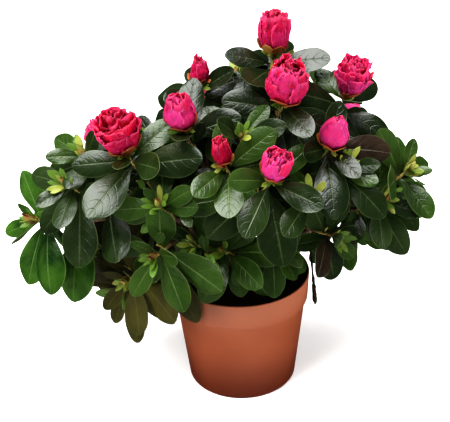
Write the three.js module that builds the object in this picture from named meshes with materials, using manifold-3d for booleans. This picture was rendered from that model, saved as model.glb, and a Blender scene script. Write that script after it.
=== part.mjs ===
// A potted azalea in bloom. The plant stands in a small plastic flower pot: a short trunk comes
// out of the potting soil and forks at once into boughs, one to each mass of foliage. A mass is
// one twig system with its leaves and blooms grown on, and it keeps clear of every other mass.
// Millimetres, +Z up, the origin at the centre of the pot's flat underside. +Y is the back.

import * as THREE from "three";
import { mergeVertices } from "three/addons/utils/BufferGeometryUtils.js";
import Module from "manifold-3d";

const wasm = await Module();
wasm.setup();

// Pot and soil
const potHeight = 104;
const rimRadius = 60;
const rimBand = 24;
const rimStep = 2;
const baseRadius = 47;
const bodyTopRadius = 56.5;
const potWall = 2;
const potFloor = 2.5;
const potSides = 40;
const drainHoles = 6;
const drainRadius = 4;
const drainRing = 30;
const soilBelowRim = 12;
const soilTop = potHeight - soilBelowRim;

// The play that neighbouring solids keep to each other, and the least step kept in a joined one
const gap = 0.3;
const smallestStep = 0.02;

// Trunk: its flat cut lies on the soil, and it leans a little towards the front
const trunkHeight = 27;
const trunkRadius = 5;
const trunkTipRadius = 3.6;
const rootFlare = 4.5;
const trunkLean = new THREE.Vector3(1, -4, trunkHeight);
const trunkFoot = new THREE.Vector3(6, 2, soilTop + gap);
const fork = trunkFoot.clone().add(trunkLean);

// Limbs. A bough leaves the trunk the higher the more steeply it climbs, and sags a little. It is
// the first share of the way to its mass's heart, and the mass's own stem is the rest.
const boughRootRadius = 3.1;
const boughTipRadius = 2.2;
const lowestBough = 0.3;
const boughSpan = 0.55;
const boughSag = 0.1;
const boughShare = 0.87;
const stemRadius = 2.1;
const twigRadius = 2.1;
const twigTipRadius = 1.8;
const twigUpturn = 0.07;
const witheredRadius = 1.3;
const witheredArch = 0.2;

// Leaves: elliptic, widest past the middle, in a whorl round each shoot's tip and a few below
const goldenAngle = 137.5;
const whorlLeaves = 10;
const whorlDepth = 12;
const lowerLeaves = 4;
const lowerLeafStep = 11;
const oldLeafLength = 57;
const youngLeafLength = 20;
const oldLeafWidth = 0.5;
const youngLeafWidth = 0.36;
const youngPitch = 34;
const oldPitch = 96;
const lowerPitch = 80;
const youngDroop = 0.1;
const oldDroop = 1.1;
const leafStations = 12;
const petioleShare = 0.1;
const petioleWidth = 1.8;
const leafThickness = 0.9;
const leafRootWidth = 0.8;
const leafSections = [0, 5, 10];
const shortestSolidLeaf = 41;
const clearOfOwnTwig = 0.35;
const sampleAcross = [-1, -0.5, 0, 0.5, 1];
const slabPlay = 0.6;

// Leaves turn their faces up and away from the upright plane through the middle of the crown
const crownMiddle = 35;
const crownHalfDepth = 50;
const faceTurn = 1.8;
const faceRise = 0.4;

// How far a leaf keeps from the next leaf of its shoot, of its mass and of another mass
const clearOfShoot = 1.2;
const clearOfMass = 1.8;
const clearOfOthers = 3;

// How far it keeps from the limbs and blooms of its own mass and of another, the pot and the soil
const clearOfOwnLimbs = 0.6;
const clearOfOtherLimbs = 2;
const clearOfOwnBlooms = 1;
const clearOfOtherBlooms = 3;
const clearOfPot = 3;
const clearOfSoil = 4;

// Each place that a leaf may be moved to when its own is taken: degrees round the twig, degrees
// off the twig's line, and its share of the full length
const leafTries = [
  [0, 0, 1], [15, 0, 1], [-15, 0, 1], [0, 13, 1], [0, -13, 1], [28, 6, 0.94], [-28, 6, 0.94],
  [14, -20, 0.88], [-14, -20, 0.88], [0, 24, 0.85], [42, 0, 0.8], [-42, 0, 0.8], [0, 0, 0.7],
];

// Blooms: length, greatest width, and the mouth's share of that width
const bloomKinds = {
  open: { length: 33, width: 40, mouth: 0.95 },
  ruffled: { length: 32, width: 31, mouth: 0.92 },
  barrel: { length: 32, width: 26, mouth: 0.8 },
  goblet: { length: 28, width: 30, mouth: 0.95 },
  squarish: { length: 27, width: 23, mouth: 0.85 },
  halfOpen: { length: 28, width: 25, mouth: 0.6 },
  closed: { length: 28, width: 23, mouth: 0.35 },
  slim: { length: 25, width: 15, mouth: 0.55 },
};
const bloomUpturn = 0.9;
const bloomSides = 9;
const bloomSink = 3;
const bloomStalk = 1.1;
const bloomRuffle = 0.18;

// Masses of foliage. A bough heads from the fork to the heart of its mass, and the shoots go on
// from there: turn in degrees from +X, lift in degrees above the level, and reach in millimetres.
// Some shoots also say to which side their oldest leaf points, in degrees round the twig, and how
// large their leaves are. Blooms stand on the shoots whose place in the row is given. A withered
// shoot is a bare one that hangs over the pot's rim.
const masses = [
  {
    name: "far_left",
    bough: [188, 29, 104],
    shoots: [[194, 56, 73, 240], [210, 36, 74, 240], [192, 4, 84, 300, 1.2]],
  },
  {
    name: "low_left",
    bough: [188, 8, 70],
    shoots: [[222, -10, 44, 270, 1.1], [184, 8, 54, 250], [204, -32, 50, 240, 1.1]],
  },
  {
    name: "front_left",
    bough: [223, 40, 85],
    shoots: [[202, 57, 87], [229, -13, 42, 50], [242, 42, 58]],
    blooms: { 0: "open" },
  },
  {
    name: "upper_left",
    bough: [208, 68, 98],
    shoots: [[247, 53, 67, 120], [110, 84, 70, 180], [184, 36, 52]],
    blooms: { 0: "halfOpen", 1: "slim" },
  },
  {
    name: "centre_front",
    bough: [270, 59, 86],
    shoots: [[238, 55, 59], [293, 42, 61, 270], [253, 76, 68]],
    blooms: { 0: "slim", 1: "squarish" },
  },
  {
    name: "low_front",
    bough: [260, 34, 52],
    shoots: [[240, 26, 30, 20], [318, 24, 50, 310], [214, 26, 48]],
  },
  {
    name: "crown",
    bough: [324, 82, 102],
    shoots: [[46, 78, 80, 140], [291, 53, 77], [131, 66, 63]],
    blooms: { 0: "barrel", 1: "ruffled" },
  },
  {
    name: "upper_right",
    bough: [344, 62, 98],
    shoots: [[357, 60, 72, 240], [291, 39, 68, 0], [61, 62, 69]],
    blooms: { 0: "goblet", 1: "closed" },
  },
  { name: "front_right", bough: [312, 44, 78], shoots: [[327, 54, 74], [325, -4, 36], [283, 46, 58]] },
  { name: "far_right", bough: [347, 34, 86], shoots: [[343, 36, 74, 100], [320, 28, 56, 0], [24, 26, 60]] },
  {
    name: "back_left",
    bough: [150, 24, 92],
    shoots: [[168, 34, 60], [136, 16, 68], [184, 0, 54]],
    blooms: { 1: "ruffled" },
  },
  {
    name: "back_crown",
    bough: [98, 58, 78],
    shoots: [[112, 28, 62], [55, 30, 62], [150, 22, 54]],
    blooms: { 0: "goblet" },
  },
  { name: "back_middle", bough: [96, 26, 84], shoots: [[86, 36, 56], [116, 8, 60], [70, -2, 56]] },
  {
    name: "back_right",
    bough: [40, 28, 90],
    shoots: [[26, 36, 62], [58, 18, 66], [12, 4, 58]],
    blooms: { 1: "halfOpen" },
  },
  { name: "low_back", bough: [128, 8, 66], shoots: [[118, 4, 50], [152, 0, 50], [92, -6, 46]] },
  {
    name: "low_right",
    bough: [16, 22, 58],
    shoots: [[352, 16, 42, 190], [38, 8, 46], [14, 28, 48]],
    withered: [279, -62, 70],
  },
];

// A seeded stream of numbers from 0 to 1, and a number from it that varies by a spread each way
function seeded(seed) {
  let state = (seed * 48271 + 11) % 2147483647;
  return () => {
    state = (state * 16807) % 2147483647;
    return state / 2147483647;
  };
}

const vary = (random, spread) => spread * (2 * random() - 1);
const radians = (degrees) => (degrees * Math.PI) / 180;
const upwards = new THREE.Vector3(0, 0, 1);

// A vector from its turn, lift and reach
function polar([turn, lift, reach]) {
  const level = reach * Math.cos(radians(lift));
  return new THREE.Vector3(
    level * Math.cos(radians(turn)),
    level * Math.sin(radians(turn)),
    reach * Math.sin(radians(lift)),
  );
}

// A closed body through rings of points with equal counts. A ring of one point is a tip.
function loft(rings) {
  const positions = rings.flat().flatMap((point) => point.toArray());
  const faces = [];
  let start = 0;
  for (let k = 0; k + 1 < rings.length; k += 1) {
    const [near, far] = [rings[k].length, rings[k + 1].length];
    const next = start + near;
    for (let i = 0; i < Math.max(near, far); i += 1) {
      const [a, b] = [start + (i % near), start + ((i + 1) % near)];
      const [c, d] = [next + (i % far), next + ((i + 1) % far)];
      if (near > 1) faces.push(a, b, c);
      if (far > 1) faces.push(near > 1 ? b : a, d, c);
    }
    start = next;
  }
  const first = rings[0].length;
  for (let i = 1; i + 1 < first; i += 1) faces.push(0, i + 1, i);
  const last = rings.at(-1).length;
  for (let i = 1; i + 1 < last; i += 1) faces.push(start, start + i, start + i + 1);
  const geometry = new THREE.BufferGeometry();
  geometry.setAttribute("position", new THREE.Float32BufferAttribute(positions, 3));
  geometry.setIndex(faces);
  return geometry;
}

// The solid of a closed geometry, with its vertices merged that lie closer than a tolerance
function solid(geometry, tolerance = 1e-4) {
  const bare = geometry.clone();
  bare.deleteAttribute("normal");
  bare.deleteAttribute("uv");
  const merged = mergeVertices(bare, tolerance);
  return new wasm.Manifold(
    new wasm.Mesh({
      numProp: 3,
      vertProperties: merged.attributes.position.array,
      triVerts: new Uint32Array(merged.index.array),
    }),
  );
}

// The geometry of a solid
function geometryOf(body) {
  const mesh = body.getMesh();
  const geometry = new THREE.BufferGeometry();
  geometry.setAttribute("position", new THREE.Float32BufferAttribute(mesh.vertProperties, 3));
  geometry.setIndex(Array.from(mesh.triVerts));
  return geometry.toNonIndexed();
}

// The biggest body of a solid, without loose scraps and with sealed hollows filled
function wholeBody(joined) {
  const bodies = joined.simplify(smallestStep).decompose();
  return geometryOf(bodies.sort((a, b) => b.volume() - a.volume())[0]);
}

// A limb's path is a quadratic curve, given by its two ends and the point that it bends towards
function limbPath(from, bend, to) {
  return new THREE.QuadraticBezierCurve3(from, bend, to);
}

// A tapering limb along a share of its path
function limb(path, [from, to], [radiusFrom, radiusTo], sides, steps) {
  const rings = [];
  let across = new THREE.Vector3(0.3, 0.95, 0.1);
  for (let k = 0; k <= steps; k += 1) {
    const share = k / steps;
    const t = from + (to - from) * share;
    const along = path.getTangent(t);
    across = across.clone().addScaledVector(along, -across.dot(along)).normalize();
    const other = along.clone().cross(across);
    const radius = radiusFrom + (radiusTo - radiusFrom) * share;
    const centre = path.getPoint(t);
    const ring = [];
    for (let i = 0; i < sides; i += 1) {
      const angle = (2 * Math.PI * i) / sides;
      const point = centre.clone().addScaledVector(across, radius * Math.cos(angle));
      ring.push(point.addScaledVector(other, radius * Math.sin(angle)));
    }
    rings.push(ring);
  }
  return loft(rings);
}

// Growth plan: the limbs, blooms and leaves as places and sizes, before any solid is made
const plan = masses.map((mass, index) => {
  const heart = fork.clone().add(polar(mass.bough));
  const lift = mass.bough[1];
  const root = trunkFoot.clone().addScaledVector(trunkLean, lowestBough + (boughSpan * lift) / 90);
  const reach = heart.distanceTo(root);
  const bend = root.clone().lerp(heart, 0.5).addScaledVector(upwards, -boughSag * reach);
  const path = limbPath(root, bend, heart);
  const shoots = mass.shoots.map((course, place) => {
    const length = course[2];
    const tip = heart.clone().add(polar(course));
    const middle = heart.clone().lerp(tip, 0.5).addScaledVector(upwards, -twigUpturn * length);
    const path = limbPath(heart, middle, tip);
    const [, , , oldestTurn, size = 1] = course;
    const shoot = { place, mass: index, length, path, oldestTurn, size, leaves: [] };
    const kind = bloomKinds[mass.blooms?.[place]];
    const upright = shoot.path.getTangent(1).addScaledVector(upwards, bloomUpturn).normalize();
    if (kind) shoot.bloom = { ...kind, base: tip, axis: upright };
    return shoot;
  });
  let withered;
  if (mass.withered) {
    const tip = heart.clone().add(polar(mass.withered));
    const arch = heart.clone().lerp(tip, 0.5).addScaledVector(upwards, witheredArch * mass.withered[2]);
    withered = limbPath(heart, arch, tip);
  }
  return { name: mass.name, index, heart, path, shoots, withered };
});

// Points along every limb, with the limb's radius there, for the leaves to keep clear of
const limbPoints = [];
for (const mass of plan) {
  for (let k = 0; k <= 30; k += 1) {
    const radius = boughRootRadius + ((boughTipRadius - boughRootRadius) * k) / 30;
    limbPoints.push({ at: mass.path.getPoint(k / 30), radius, mass: -1 });
  }
  for (const shoot of mass.shoots) {
    for (let k = 0; k <= 20; k += 1) {
      limbPoints.push({ at: shoot.path.getPoint(k / 20), radius: twigRadius, mass: mass.index, shoot });
    }
  }
}
for (const { index, withered } of plan) {
  if (!withered) continue;
  for (let k = 0; k <= 20; k += 1) {
    limbPoints.push({ at: withered.getPoint(k / 20), radius: witheredRadius, mass: index });
  }
}
for (let k = 0; k <= 6; k += 1) {
  const radius = trunkRadius + (k === 0 ? rootFlare : 0);
  limbPoints.push({ at: trunkFoot.clone().addScaledVector(trunkLean, k / 6), radius, mass: -1 });
}

// The pot's outer radius at a height, with its rim band taken as upright
function potRadius(z) {
  const bandFoot = potHeight - rimBand;
  return z > bandFoot ? rimRadius : baseRadius + ((bodyTopRadius - baseRadius) * z) / bandFoot;
}

// Half the width of a leaf at a share of its length
function leafHalfWidth(leaf, share) {
  if (share < petioleShare) return petioleWidth / 2;
  const along = (share - petioleShare) / (1 - petioleShare);
  const outline = Math.sin(Math.PI * along ** 1.2) ** 0.62;
  return Math.max(petioleWidth / 2, (leaf.width / 2) * outline);
}

// One leaf: its midrib as stations, each with its place, its course, its side and its face
function growLeaf(shoot, { back, turn, pitch, length, width, droop }) {
  const share = Math.max(0, 1 - back / shoot.length);
  const base = shoot.path.getPoint(share);
  const axis = shoot.path.getTangent(share);
  const level = new THREE.Vector3(axis.y, -axis.x, 0).normalize();
  const over = level.clone().cross(axis);
  const out = level.multiplyScalar(Math.cos(radians(turn))).addScaledVector(over, Math.sin(radians(turn)));
  const along = axis.clone().multiplyScalar(Math.cos(radians(pitch)));
  along.addScaledVector(out, Math.sin(radians(pitch)));
  const face = axis.clone().multiplyScalar(Math.sin(radians(pitch)));
  face.addScaledVector(out, -Math.cos(radians(pitch)));
  const forwards = Math.max(-1, Math.min(1, (crownMiddle - base.y) / crownHalfDepth));
  face.add(new THREE.Vector3(0, -faceTurn * forwards, faceRise));
  const leaf = { shoot, mass: shoot.mass, length, width, stations: [] };
  const at = base.clone();
  const step = length / leafStations;
  for (let k = 0; k <= leafStations; k += 1) {
    face.addScaledVector(along, -face.dot(along)).normalize();
    const side = along.clone().cross(face);
    const half = leafHalfWidth(leaf, k / leafStations);
    leaf.stations.push({ at: at.clone(), along: along.clone(), side, face: face.clone(), half });
    at.addScaledVector(along, step);
    along.addScaledVector(face, -droop / leafStations / 2);
    along.addScaledVector(upwards, -droop / leafStations / 2).normalize();
  }
  leaf.middle = leaf.stations[leafStations / 2].at;
  leaf.samples = leaf.stations.slice(1).flatMap((station, k) =>
    sampleAcross.map((across) => ({
      at: station.at.clone().addScaledVector(station.side, across * station.half),
      share: (k + 1) / leafStations,
    })),
  );
  return leaf;
}

// Whether a point lies in the slab that a leaf takes up, from a share of its length outwards
function inSlab(leaf, point, clear, fromShare) {
  const reach = leaf.length / leafStations / 2 + slabPlay;
  const away = new THREE.Vector3();
  for (let k = Math.ceil(fromShare * leafStations); k <= leafStations; k += 1) {
    const { at, along, side, face, half } = leaf.stations[k];
    away.subVectors(point, at);
    if (Math.abs(away.dot(along)) > reach) continue;
    if (Math.abs(away.dot(side)) > half + clear) continue;
    if (Math.abs(away.dot(face)) < clear) return true;
  }
  return false;
}

// Whether two leaves come too near each other
function leavesMeet(leaf, other) {
  if (leaf.middle.distanceTo(other.middle) > (leaf.length + other.length) / 2 + 4) return false;
  const sameShoot = leaf.shoot === other.shoot;
  const fromShare = sameShoot ? clearOfOwnTwig : 0;
  const clear = sameShoot ? clearOfShoot : leaf.mass === other.mass ? clearOfMass : clearOfOthers;
  const meets = (one, two) =>
    one.samples.some(({ at, share }) => share >= fromShare && inSlab(two, at, clear, fromShare));
  return meets(leaf, other) || meets(other, leaf);
}

// Whether a leaf meets a limb, a bloom, the pot or the soil
function leafIsBlocked(leaf) {
  for (const { at, radius, mass, shoot } of limbPoints) {
    if (at.distanceTo(leaf.middle) > leaf.length / 2 + radius + 4) continue;
    const fromShare = shoot === leaf.shoot ? clearOfOwnTwig : clearOfOwnTwig / 2;
    const clear = mass === leaf.mass ? clearOfOwnLimbs : clearOfOtherLimbs;
    if (inSlab(leaf, at, radius + clear, fromShare)) return true;
  }
  for (const { shoots } of plan) {
    for (const shoot of shoots) {
      if (!shoot.bloom) continue;
      const { base, axis, length, width } = shoot.bloom;
      const clear = shoot.mass === leaf.mass ? clearOfOwnBlooms : clearOfOtherBlooms;
      const centre = base.clone().addScaledVector(axis, length / 2);
      for (const { at, share } of leaf.samples) {
        if (shoot === leaf.shoot && share < clearOfOwnTwig) continue;
        const away = at.clone().sub(centre);
        const rise = away.dot(axis);
        const aside = Math.sqrt(Math.max(0, away.lengthSq() - rise * rise));
        if (Math.hypot(rise / (length / 2 + clear), aside / (width / 2 + clear)) < 1) return true;
      }
    }
  }
  return leaf.samples.some(({ at }) => {
    const radius = Math.hypot(at.x, at.y);
    const wallHere = potRadius(at.z);
    if (at.z > potHeight + clearOfPot || radius > wallHere + clearOfPot) return at.z < clearOfSoil;
    return at.z < soilTop + clearOfSoil || radius > wallHere - potWall - rimStep - clearOfPot;
  });
}

// Grow the whorls of all shoots, then the lower leaves, each leaf at its first free place
const grownLeaves = [];
function growFreeLeaf(shoot, wanted) {
  for (const [turn, pitch, size] of leafTries) {
    const leaf = growLeaf(shoot, {
      ...wanted,
      turn: wanted.turn + turn,
      pitch: wanted.pitch + pitch,
      length: wanted.length * size,
      width: wanted.width * size,
    });
    if (leafIsBlocked(leaf) || grownLeaves.some((other) => leavesMeet(leaf, other))) continue;
    grownLeaves.push(leaf);
    shoot.leaves.push(leaf);
    return;
  }
}
const shoots = plan.flatMap((mass) => mass.shoots);
for (const shoot of shoots) {
  const random = seeded(100 * shoot.mass + shoot.place + 1);
  shoot.phase = shoot.oldestTurn ?? 360 * random();
  const count = shoot.bloom ? whorlLeaves - 2 : whorlLeaves;
  for (let k = 0; k < count; k += 1) {
    const age = 1 - k / (whorlLeaves - 1);
    const full = youngLeafLength + (oldLeafLength - youngLeafLength) * age ** 0.6;
    const length = full * shoot.size * (1 + vary(random, 0.12));
    growFreeLeaf(shoot, {
      back: 1 + whorlDepth * age,
      turn: shoot.phase + goldenAngle * k + vary(random, 12),
      pitch: youngPitch + (oldPitch - youngPitch) * age ** 0.7 + vary(random, 8),
      length,
      width: length * (youngLeafWidth + (oldLeafWidth - youngLeafWidth) * age ** 0.5),
      droop: youngDroop + oldDroop * age * random(),
    });
  }
}
for (const shoot of shoots) {
  const random = seeded(100 * shoot.mass + shoot.place + 51);
  for (let k = 0; k < lowerLeaves; k += 1) {
    const length = oldLeafLength * shoot.size * (0.97 + vary(random, 0.12));
    const back = whorlDepth + lowerLeafStep * (k + 0.75 + vary(random, 0.15));
    if (back > shoot.length - lowerLeafStep / 2) break;
    growFreeLeaf(shoot, {
      back,
      turn: shoot.phase - goldenAngle * (k + 1) + vary(random, 20),
      pitch: lowerPitch + vary(random, 10),
      length,
      width: length * oldLeafWidth,
      droop: youngDroop + oldDroop * random(),
    });
  }
}

// A leaf's blade: three-sided sections, thickest along the midrib, from its root at the middle of
// the twig to its pointed tip
function leafSolid(leaf) {
  const sections = leafSections.map((k) => {
    const { at, side, face, half } = leaf.stations[k];
    const edge = k === 0 ? leafRootWidth / 2 : half;
    const under = at.clone().addScaledVector(face, -leafThickness / 3);
    const ridge = at.clone().addScaledVector(face, (2 * leafThickness) / 3);
    return [under.clone().addScaledVector(side, edge), under.clone().addScaledVector(side, -edge), ridge];
  });
  return solid(loft([...sections, [leaf.stations[leafStations].at]]));
}

// A double bloom: a cup on the shoot's tip with a ruffled mouth that dips to the middle
function bloomSolid({ base, axis, length, width, mouth }, seed) {
  const random = seeded(seed);
  const across = new THREE.Vector3(1, 0, 0).cross(axis).normalize();
  const other = axis.clone().cross(across);
  const ring = (height, radius, ruffle) =>
    Array.from({ length: bloomSides }, (_, i) => {
      const angle = (2 * Math.PI * i) / bloomSides;
      const lift = height + vary(random, ruffle / 2);
      const reach = radius * (1 + (ruffle ? vary(random, bloomRuffle / 2) : 0));
      const point = base.clone().addScaledVector(axis, lift);
      point.addScaledVector(across, reach * Math.cos(angle));
      return point.addScaledVector(other, reach * Math.sin(angle));
    });
  const half = width / 2;
  const rings = [
    ring(-bloomSink, bloomStalk, 0),
    ring(0.16 * length, 0.55 * half, 0),
    ring(0.5 * length, (0.75 + 0.2 * mouth) * half, 0.05 * length),
    ring(0.93 * length, mouth * half, 0.12 * length),
    ring(0.8 * length, 0.5 * mouth * half, 0.05 * length),
    [base.clone().addScaledVector(axis, 0.72 * length)],
  ];
  return solid(loft(rings));
}

// Pot: tapered body, deeper rim band with a step under it, and drain holes round the middle
function potBody() {
  const bandFoot = potHeight - rimBand;
  const profile = [
    [0, 0],
    [baseRadius, 0],
    [bodyTopRadius, bandFoot],
    [bodyTopRadius + rimStep, bandFoot],
    [rimRadius, potHeight],
    [rimRadius - potWall, potHeight],
    [bodyTopRadius + rimStep - potWall, bandFoot + potWall],
    [bodyTopRadius - potWall, bandFoot],
    [baseRadius - potWall, potFloor],
    [0, potFloor],
  ].map(([radius, height]) => new THREE.Vector2(radius, height));
  let body = solid(new THREE.LatheGeometry(profile, potSides).rotateX(Math.PI / 2));
  for (let k = 0; k < drainHoles; k += 1) {
    const angle = (2 * Math.PI * k) / drainHoles;
    const hole = new THREE.CylinderGeometry(drainRadius, drainRadius, 3 * potFloor, 12).rotateX(Math.PI / 2);
    body = body.subtract(solid(hole.translate(drainRing * Math.cos(angle), drainRing * Math.sin(angle), 0)));
  }
  return geometryOf(body);
}

// Potting soil: fills the pot to below its rim
function soilBody() {
  const bandFoot = potHeight - rimBand;
  const inset = potWall + gap;
  const bandRadius = bodyTopRadius + rimStep;
  const rise = (soilTop - bandFoot) / rimBand;
  const profile = [
    [0, potFloor + gap],
    [baseRadius - inset, potFloor + gap],
    [bodyTopRadius - inset, bandFoot + gap],
    [bandRadius - inset, bandFoot + potWall + gap],
    [bandRadius + (rimRadius - bandRadius) * rise - inset, soilTop],
    [0, soilTop],
  ].map(([radius, height]) => new THREE.Vector2(radius, height));
  return geometryOf(solid(new THREE.LatheGeometry(profile, potSides).rotateX(Math.PI / 2)));
}

// Trunk: flared and ridged where it meets the soil, tapering and leaning to the fork
function trunkBody(grow) {
  const sides = 12;
  const stages = [0, 0.1, 0.25, 0.6, 1];
  const rings = stages.map((stage) => {
    const centre = trunkFoot.clone().addScaledVector(trunkLean, stage);
    const flare = rootFlare * Math.max(0, 1 - stage / 0.3) ** 2;
    const radius = trunkRadius + (trunkTipRadius - trunkRadius) * stage + grow;
    return Array.from({ length: sides }, (_, i) => {
      const angle = (2 * Math.PI * i) / sides;
      const ridge = flare * (0.7 + 0.3 * Math.cos(4 * angle));
      const level = new THREE.Vector3(Math.cos(angle), Math.sin(angle), 0);
      return centre.clone().addScaledVector(level, radius + ridge);
    });
  });
  const top = trunkFoot.clone().addScaledVector(trunkLean, 1.07 + grow / trunkHeight);
  return solid(loft([...rings, [top]]));
}

// Boughs, each cut clear of the trunk and of the boughs made before it
const boughSolids = [];
function boughBody(mass) {
  const make = (grow) =>
    solid(
      limb(
        mass.path,
        [0, boughShare + grow / 100],
        [boughRootRadius + grow, boughTipRadius + grow],
        5,
        3,
      ),
    );
  let body = make(0).subtract(trunkBody(gap + 0.05));
  for (const grown of boughSolids) body = body.subtract(grown);
  boughSolids.push(make(gap + 0.1));
  return wholeBody(body);
}

// A mass of foliage: its stem, its shoots, and their leaves and blooms, all one body
function massBody(mass) {
  const stemFrom = boughShare + gap / mass.path.getLength();
  const pieces = [solid(limb(mass.path, [stemFrom, 1], [stemRadius, twigRadius], 5, 2))];
  for (const shoot of mass.shoots) {
    pieces.push(solid(limb(shoot.path, [0, 1], [twigRadius, twigTipRadius], 3, 3)));
    for (const leaf of shoot.leaves) {
      if (leaf.length >= shortestSolidLeaf) pieces.push(leafSolid(leaf));
    }
    if (shoot.bloom) pieces.push(bloomSolid(shoot.bloom, 10 * mass.index + shoot.place + 1));
  }
  if (mass.withered) {
    pieces.push(solid(limb(mass.withered, [0, 1], [witheredRadius, witheredRadius], 3, 4)));
  }
  return wholeBody(wasm.Manifold.union(pieces));
}

const terracotta = new THREE.MeshStandardMaterial({ color: 0xb9694c, roughness: 0.5, metalness: 0 });
const peat = new THREE.MeshStandardMaterial({ color: 0x2b1e17, roughness: 0.95, metalness: 0 });
const bark = new THREE.MeshStandardMaterial({ color: 0x5d4735, roughness: 0.85, metalness: 0 });
const foliage = new THREE.MeshStandardMaterial({ color: 0x2f4a2c, roughness: 0.45, metalness: 0 });

const azalea = new THREE.Group();
function add(name, geometry, material) {
  const mesh = new THREE.Mesh(geometry, material);
  mesh.name = name;
  azalea.add(mesh);
}
add("flower_pot", potBody(), terracotta);
add("potting_soil", soilBody(), peat);
add("trunk", geometryOf(trunkBody(0)), bark);
for (const mass of plan) add(`${mass.name}_bough`, boughBody(mass), bark);
for (const mass of plan) add(`${mass.name}_foliage`, massBody(mass), foliage);

export default azalea;
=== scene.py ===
# A potted azalea in double pink bloom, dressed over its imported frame: a plain plastic pot, the peat
# in it, a short forked trunk, and boughs that carry twigs, leaves, buds and blooms. Lengths are in
# metres, apart from the plant's growth, which is worked out in millimetres as the part's source does.

import math

import bmesh
import bpy
import numpy as np
from mathutils import Matrix, Vector, noise


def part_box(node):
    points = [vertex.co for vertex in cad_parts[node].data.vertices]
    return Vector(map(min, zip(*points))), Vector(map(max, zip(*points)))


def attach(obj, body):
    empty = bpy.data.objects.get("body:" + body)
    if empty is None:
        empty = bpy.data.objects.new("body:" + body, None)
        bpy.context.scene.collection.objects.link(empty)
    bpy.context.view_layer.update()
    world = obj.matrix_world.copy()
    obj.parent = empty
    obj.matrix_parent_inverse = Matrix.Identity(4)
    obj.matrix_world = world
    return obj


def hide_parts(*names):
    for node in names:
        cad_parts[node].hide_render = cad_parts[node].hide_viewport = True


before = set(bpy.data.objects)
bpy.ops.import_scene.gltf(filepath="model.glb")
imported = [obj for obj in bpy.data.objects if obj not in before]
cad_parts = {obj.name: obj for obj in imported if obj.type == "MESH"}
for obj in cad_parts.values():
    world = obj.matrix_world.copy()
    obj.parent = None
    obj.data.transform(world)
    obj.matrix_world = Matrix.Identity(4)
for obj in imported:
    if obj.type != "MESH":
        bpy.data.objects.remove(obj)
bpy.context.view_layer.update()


# Camera
# It looks down on the plant from the front, less than a metre away, and leans so that the right
# side of the picture stands slightly high. The focal length is in pixels of the picture's width.
picture_width = 450
focal_length = 1111
camera = bpy.data.cameras.new("camera")
camera.lens = focal_length * camera.sensor_width / picture_width
camera_place = Vector((-0.0115, -0.828, 0.601))
look_down = math.radians(27.93)
lean = math.radians(1.8)
viewer = bpy.data.objects.new("camera", camera)
viewer.matrix_world = (
    Matrix.Translation(camera_place)
    @ Matrix.Rotation(math.radians(90) - look_down, 4, "X")
    @ Matrix.Rotation(-lean, 4, "Z")
)
bpy.context.collection.objects.link(viewer)
bpy.context.scene.camera = viewer


# Flower pot
# A thin-walled nursery pot, moulded in one piece from soft plastic, terracotta outside and black
# inside. A deeper band stiffens its rim, and water drains through six holes in its floor.
class Wire:
    """One output of a shader node. Operators add Math nodes, and node() adds any other kind."""

    def __init__(self, tree, socket=None):
        self.tree = tree
        self.socket = socket

    def node(self, kind, settings=None, values=None, output=0):
        made = self.tree.nodes.new("ShaderNode" + kind)
        for name, setting in (settings or {}).items():
            setattr(made, name, setting)
        for name, value in (values or {}).items():
            if isinstance(value, Wire):
                self.tree.links.new(value.socket, made.inputs[name])
            else:
                made.inputs[name].default_value = value
        return Wire(self.tree, made.outputs[output])

    def maths(self, operation, *values):
        return self.node("Math", {"operation": operation}, dict(enumerate(values)))

    def __add__(self, other):
        return self.maths("ADD", self, other)

    def __sub__(self, other):
        return self.maths("SUBTRACT", self, other)

    def __rsub__(self, other):
        return self.maths("SUBTRACT", other, self)

    def __mul__(self, other):
        return self.maths("MULTIPLY", self, other)

    def __pow__(self, other):
        return self.maths("POWER", self, other)

    __radd__ = __add__
    __rmul__ = __mul__

    def step(self, low, high):
        """0 below low and 1 above high, with a smooth rise between them."""
        ends = {"Value": self, "From Min": low, "From Max": high}
        return self.node("MapRange", {"interpolation_type": "SMOOTHSTEP"}, ends)

    def blend(self, low, high):
        """The colour low where this is 0, and the colour high where it is 1."""
        return self.node("Mix", {"data_type": "RGBA"}, {0: self, 6: low, 7: high}, output=2)


class Finish:
    """A material with a Principled shader: its constants are set here, and feed() links the rest."""

    def __init__(self, name, **constants):
        self.material = bpy.data.materials.new(name)
        self.material.use_nodes = True
        self.shader = self.material.node_tree.nodes["Principled BSDF"]
        for socket, value in constants.items():
            self.shader.inputs[socket.replace("_", " ")].default_value = value
        self.start = Wire(self.material.node_tree)

    def place(self, socket="Object"):
        """Where a spot lies, on the piece's own axes or on its UV map."""
        return self.start.node("TexCoord", output=socket)

    def tone(self):
        """The tone from 0 to 1 that every thin sheet has of its own."""
        return self.start.node("Attribute", {"attribute_name": "tone"}, output=2)

    def sheet(self):
        """How far off a sheet's middle line a spot lies, from 0 to 1, and how far up the sheet."""
        flat = self.place("UV")
        sideways = flat.node("SeparateXYZ", {}, {0: flat}, "X") * 2 - 1
        return sideways.maths("ABSOLUTE", sideways), flat.node("SeparateXYZ", {}, {0: flat}, "Y")

    def noise(self, place, scale, detail=3, roughness=0.5):
        values = {"Vector": place, "Scale": scale, "Detail": detail, "Roughness": roughness}
        return self.start.node("TexNoise", {}, values)

    def feed(self, socket, wire):
        """Links a wire to one of the shader's own sockets."""
        self.material.node_tree.links.new(wire.socket, self.shader.inputs[socket])

    def bump(self, height, distance, strength=1.0):
        values = {"Height": height, "Distance": distance, "Strength": strength}
        self.feed("Normal", self.start.node("Bump", {}, values))


def mesh_of(name, shape):
    """The mesh of a shape that is then done with."""
    mesh = bpy.data.meshes.new(name)
    shape.to_mesh(mesh)
    shape.free()
    return mesh


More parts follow.
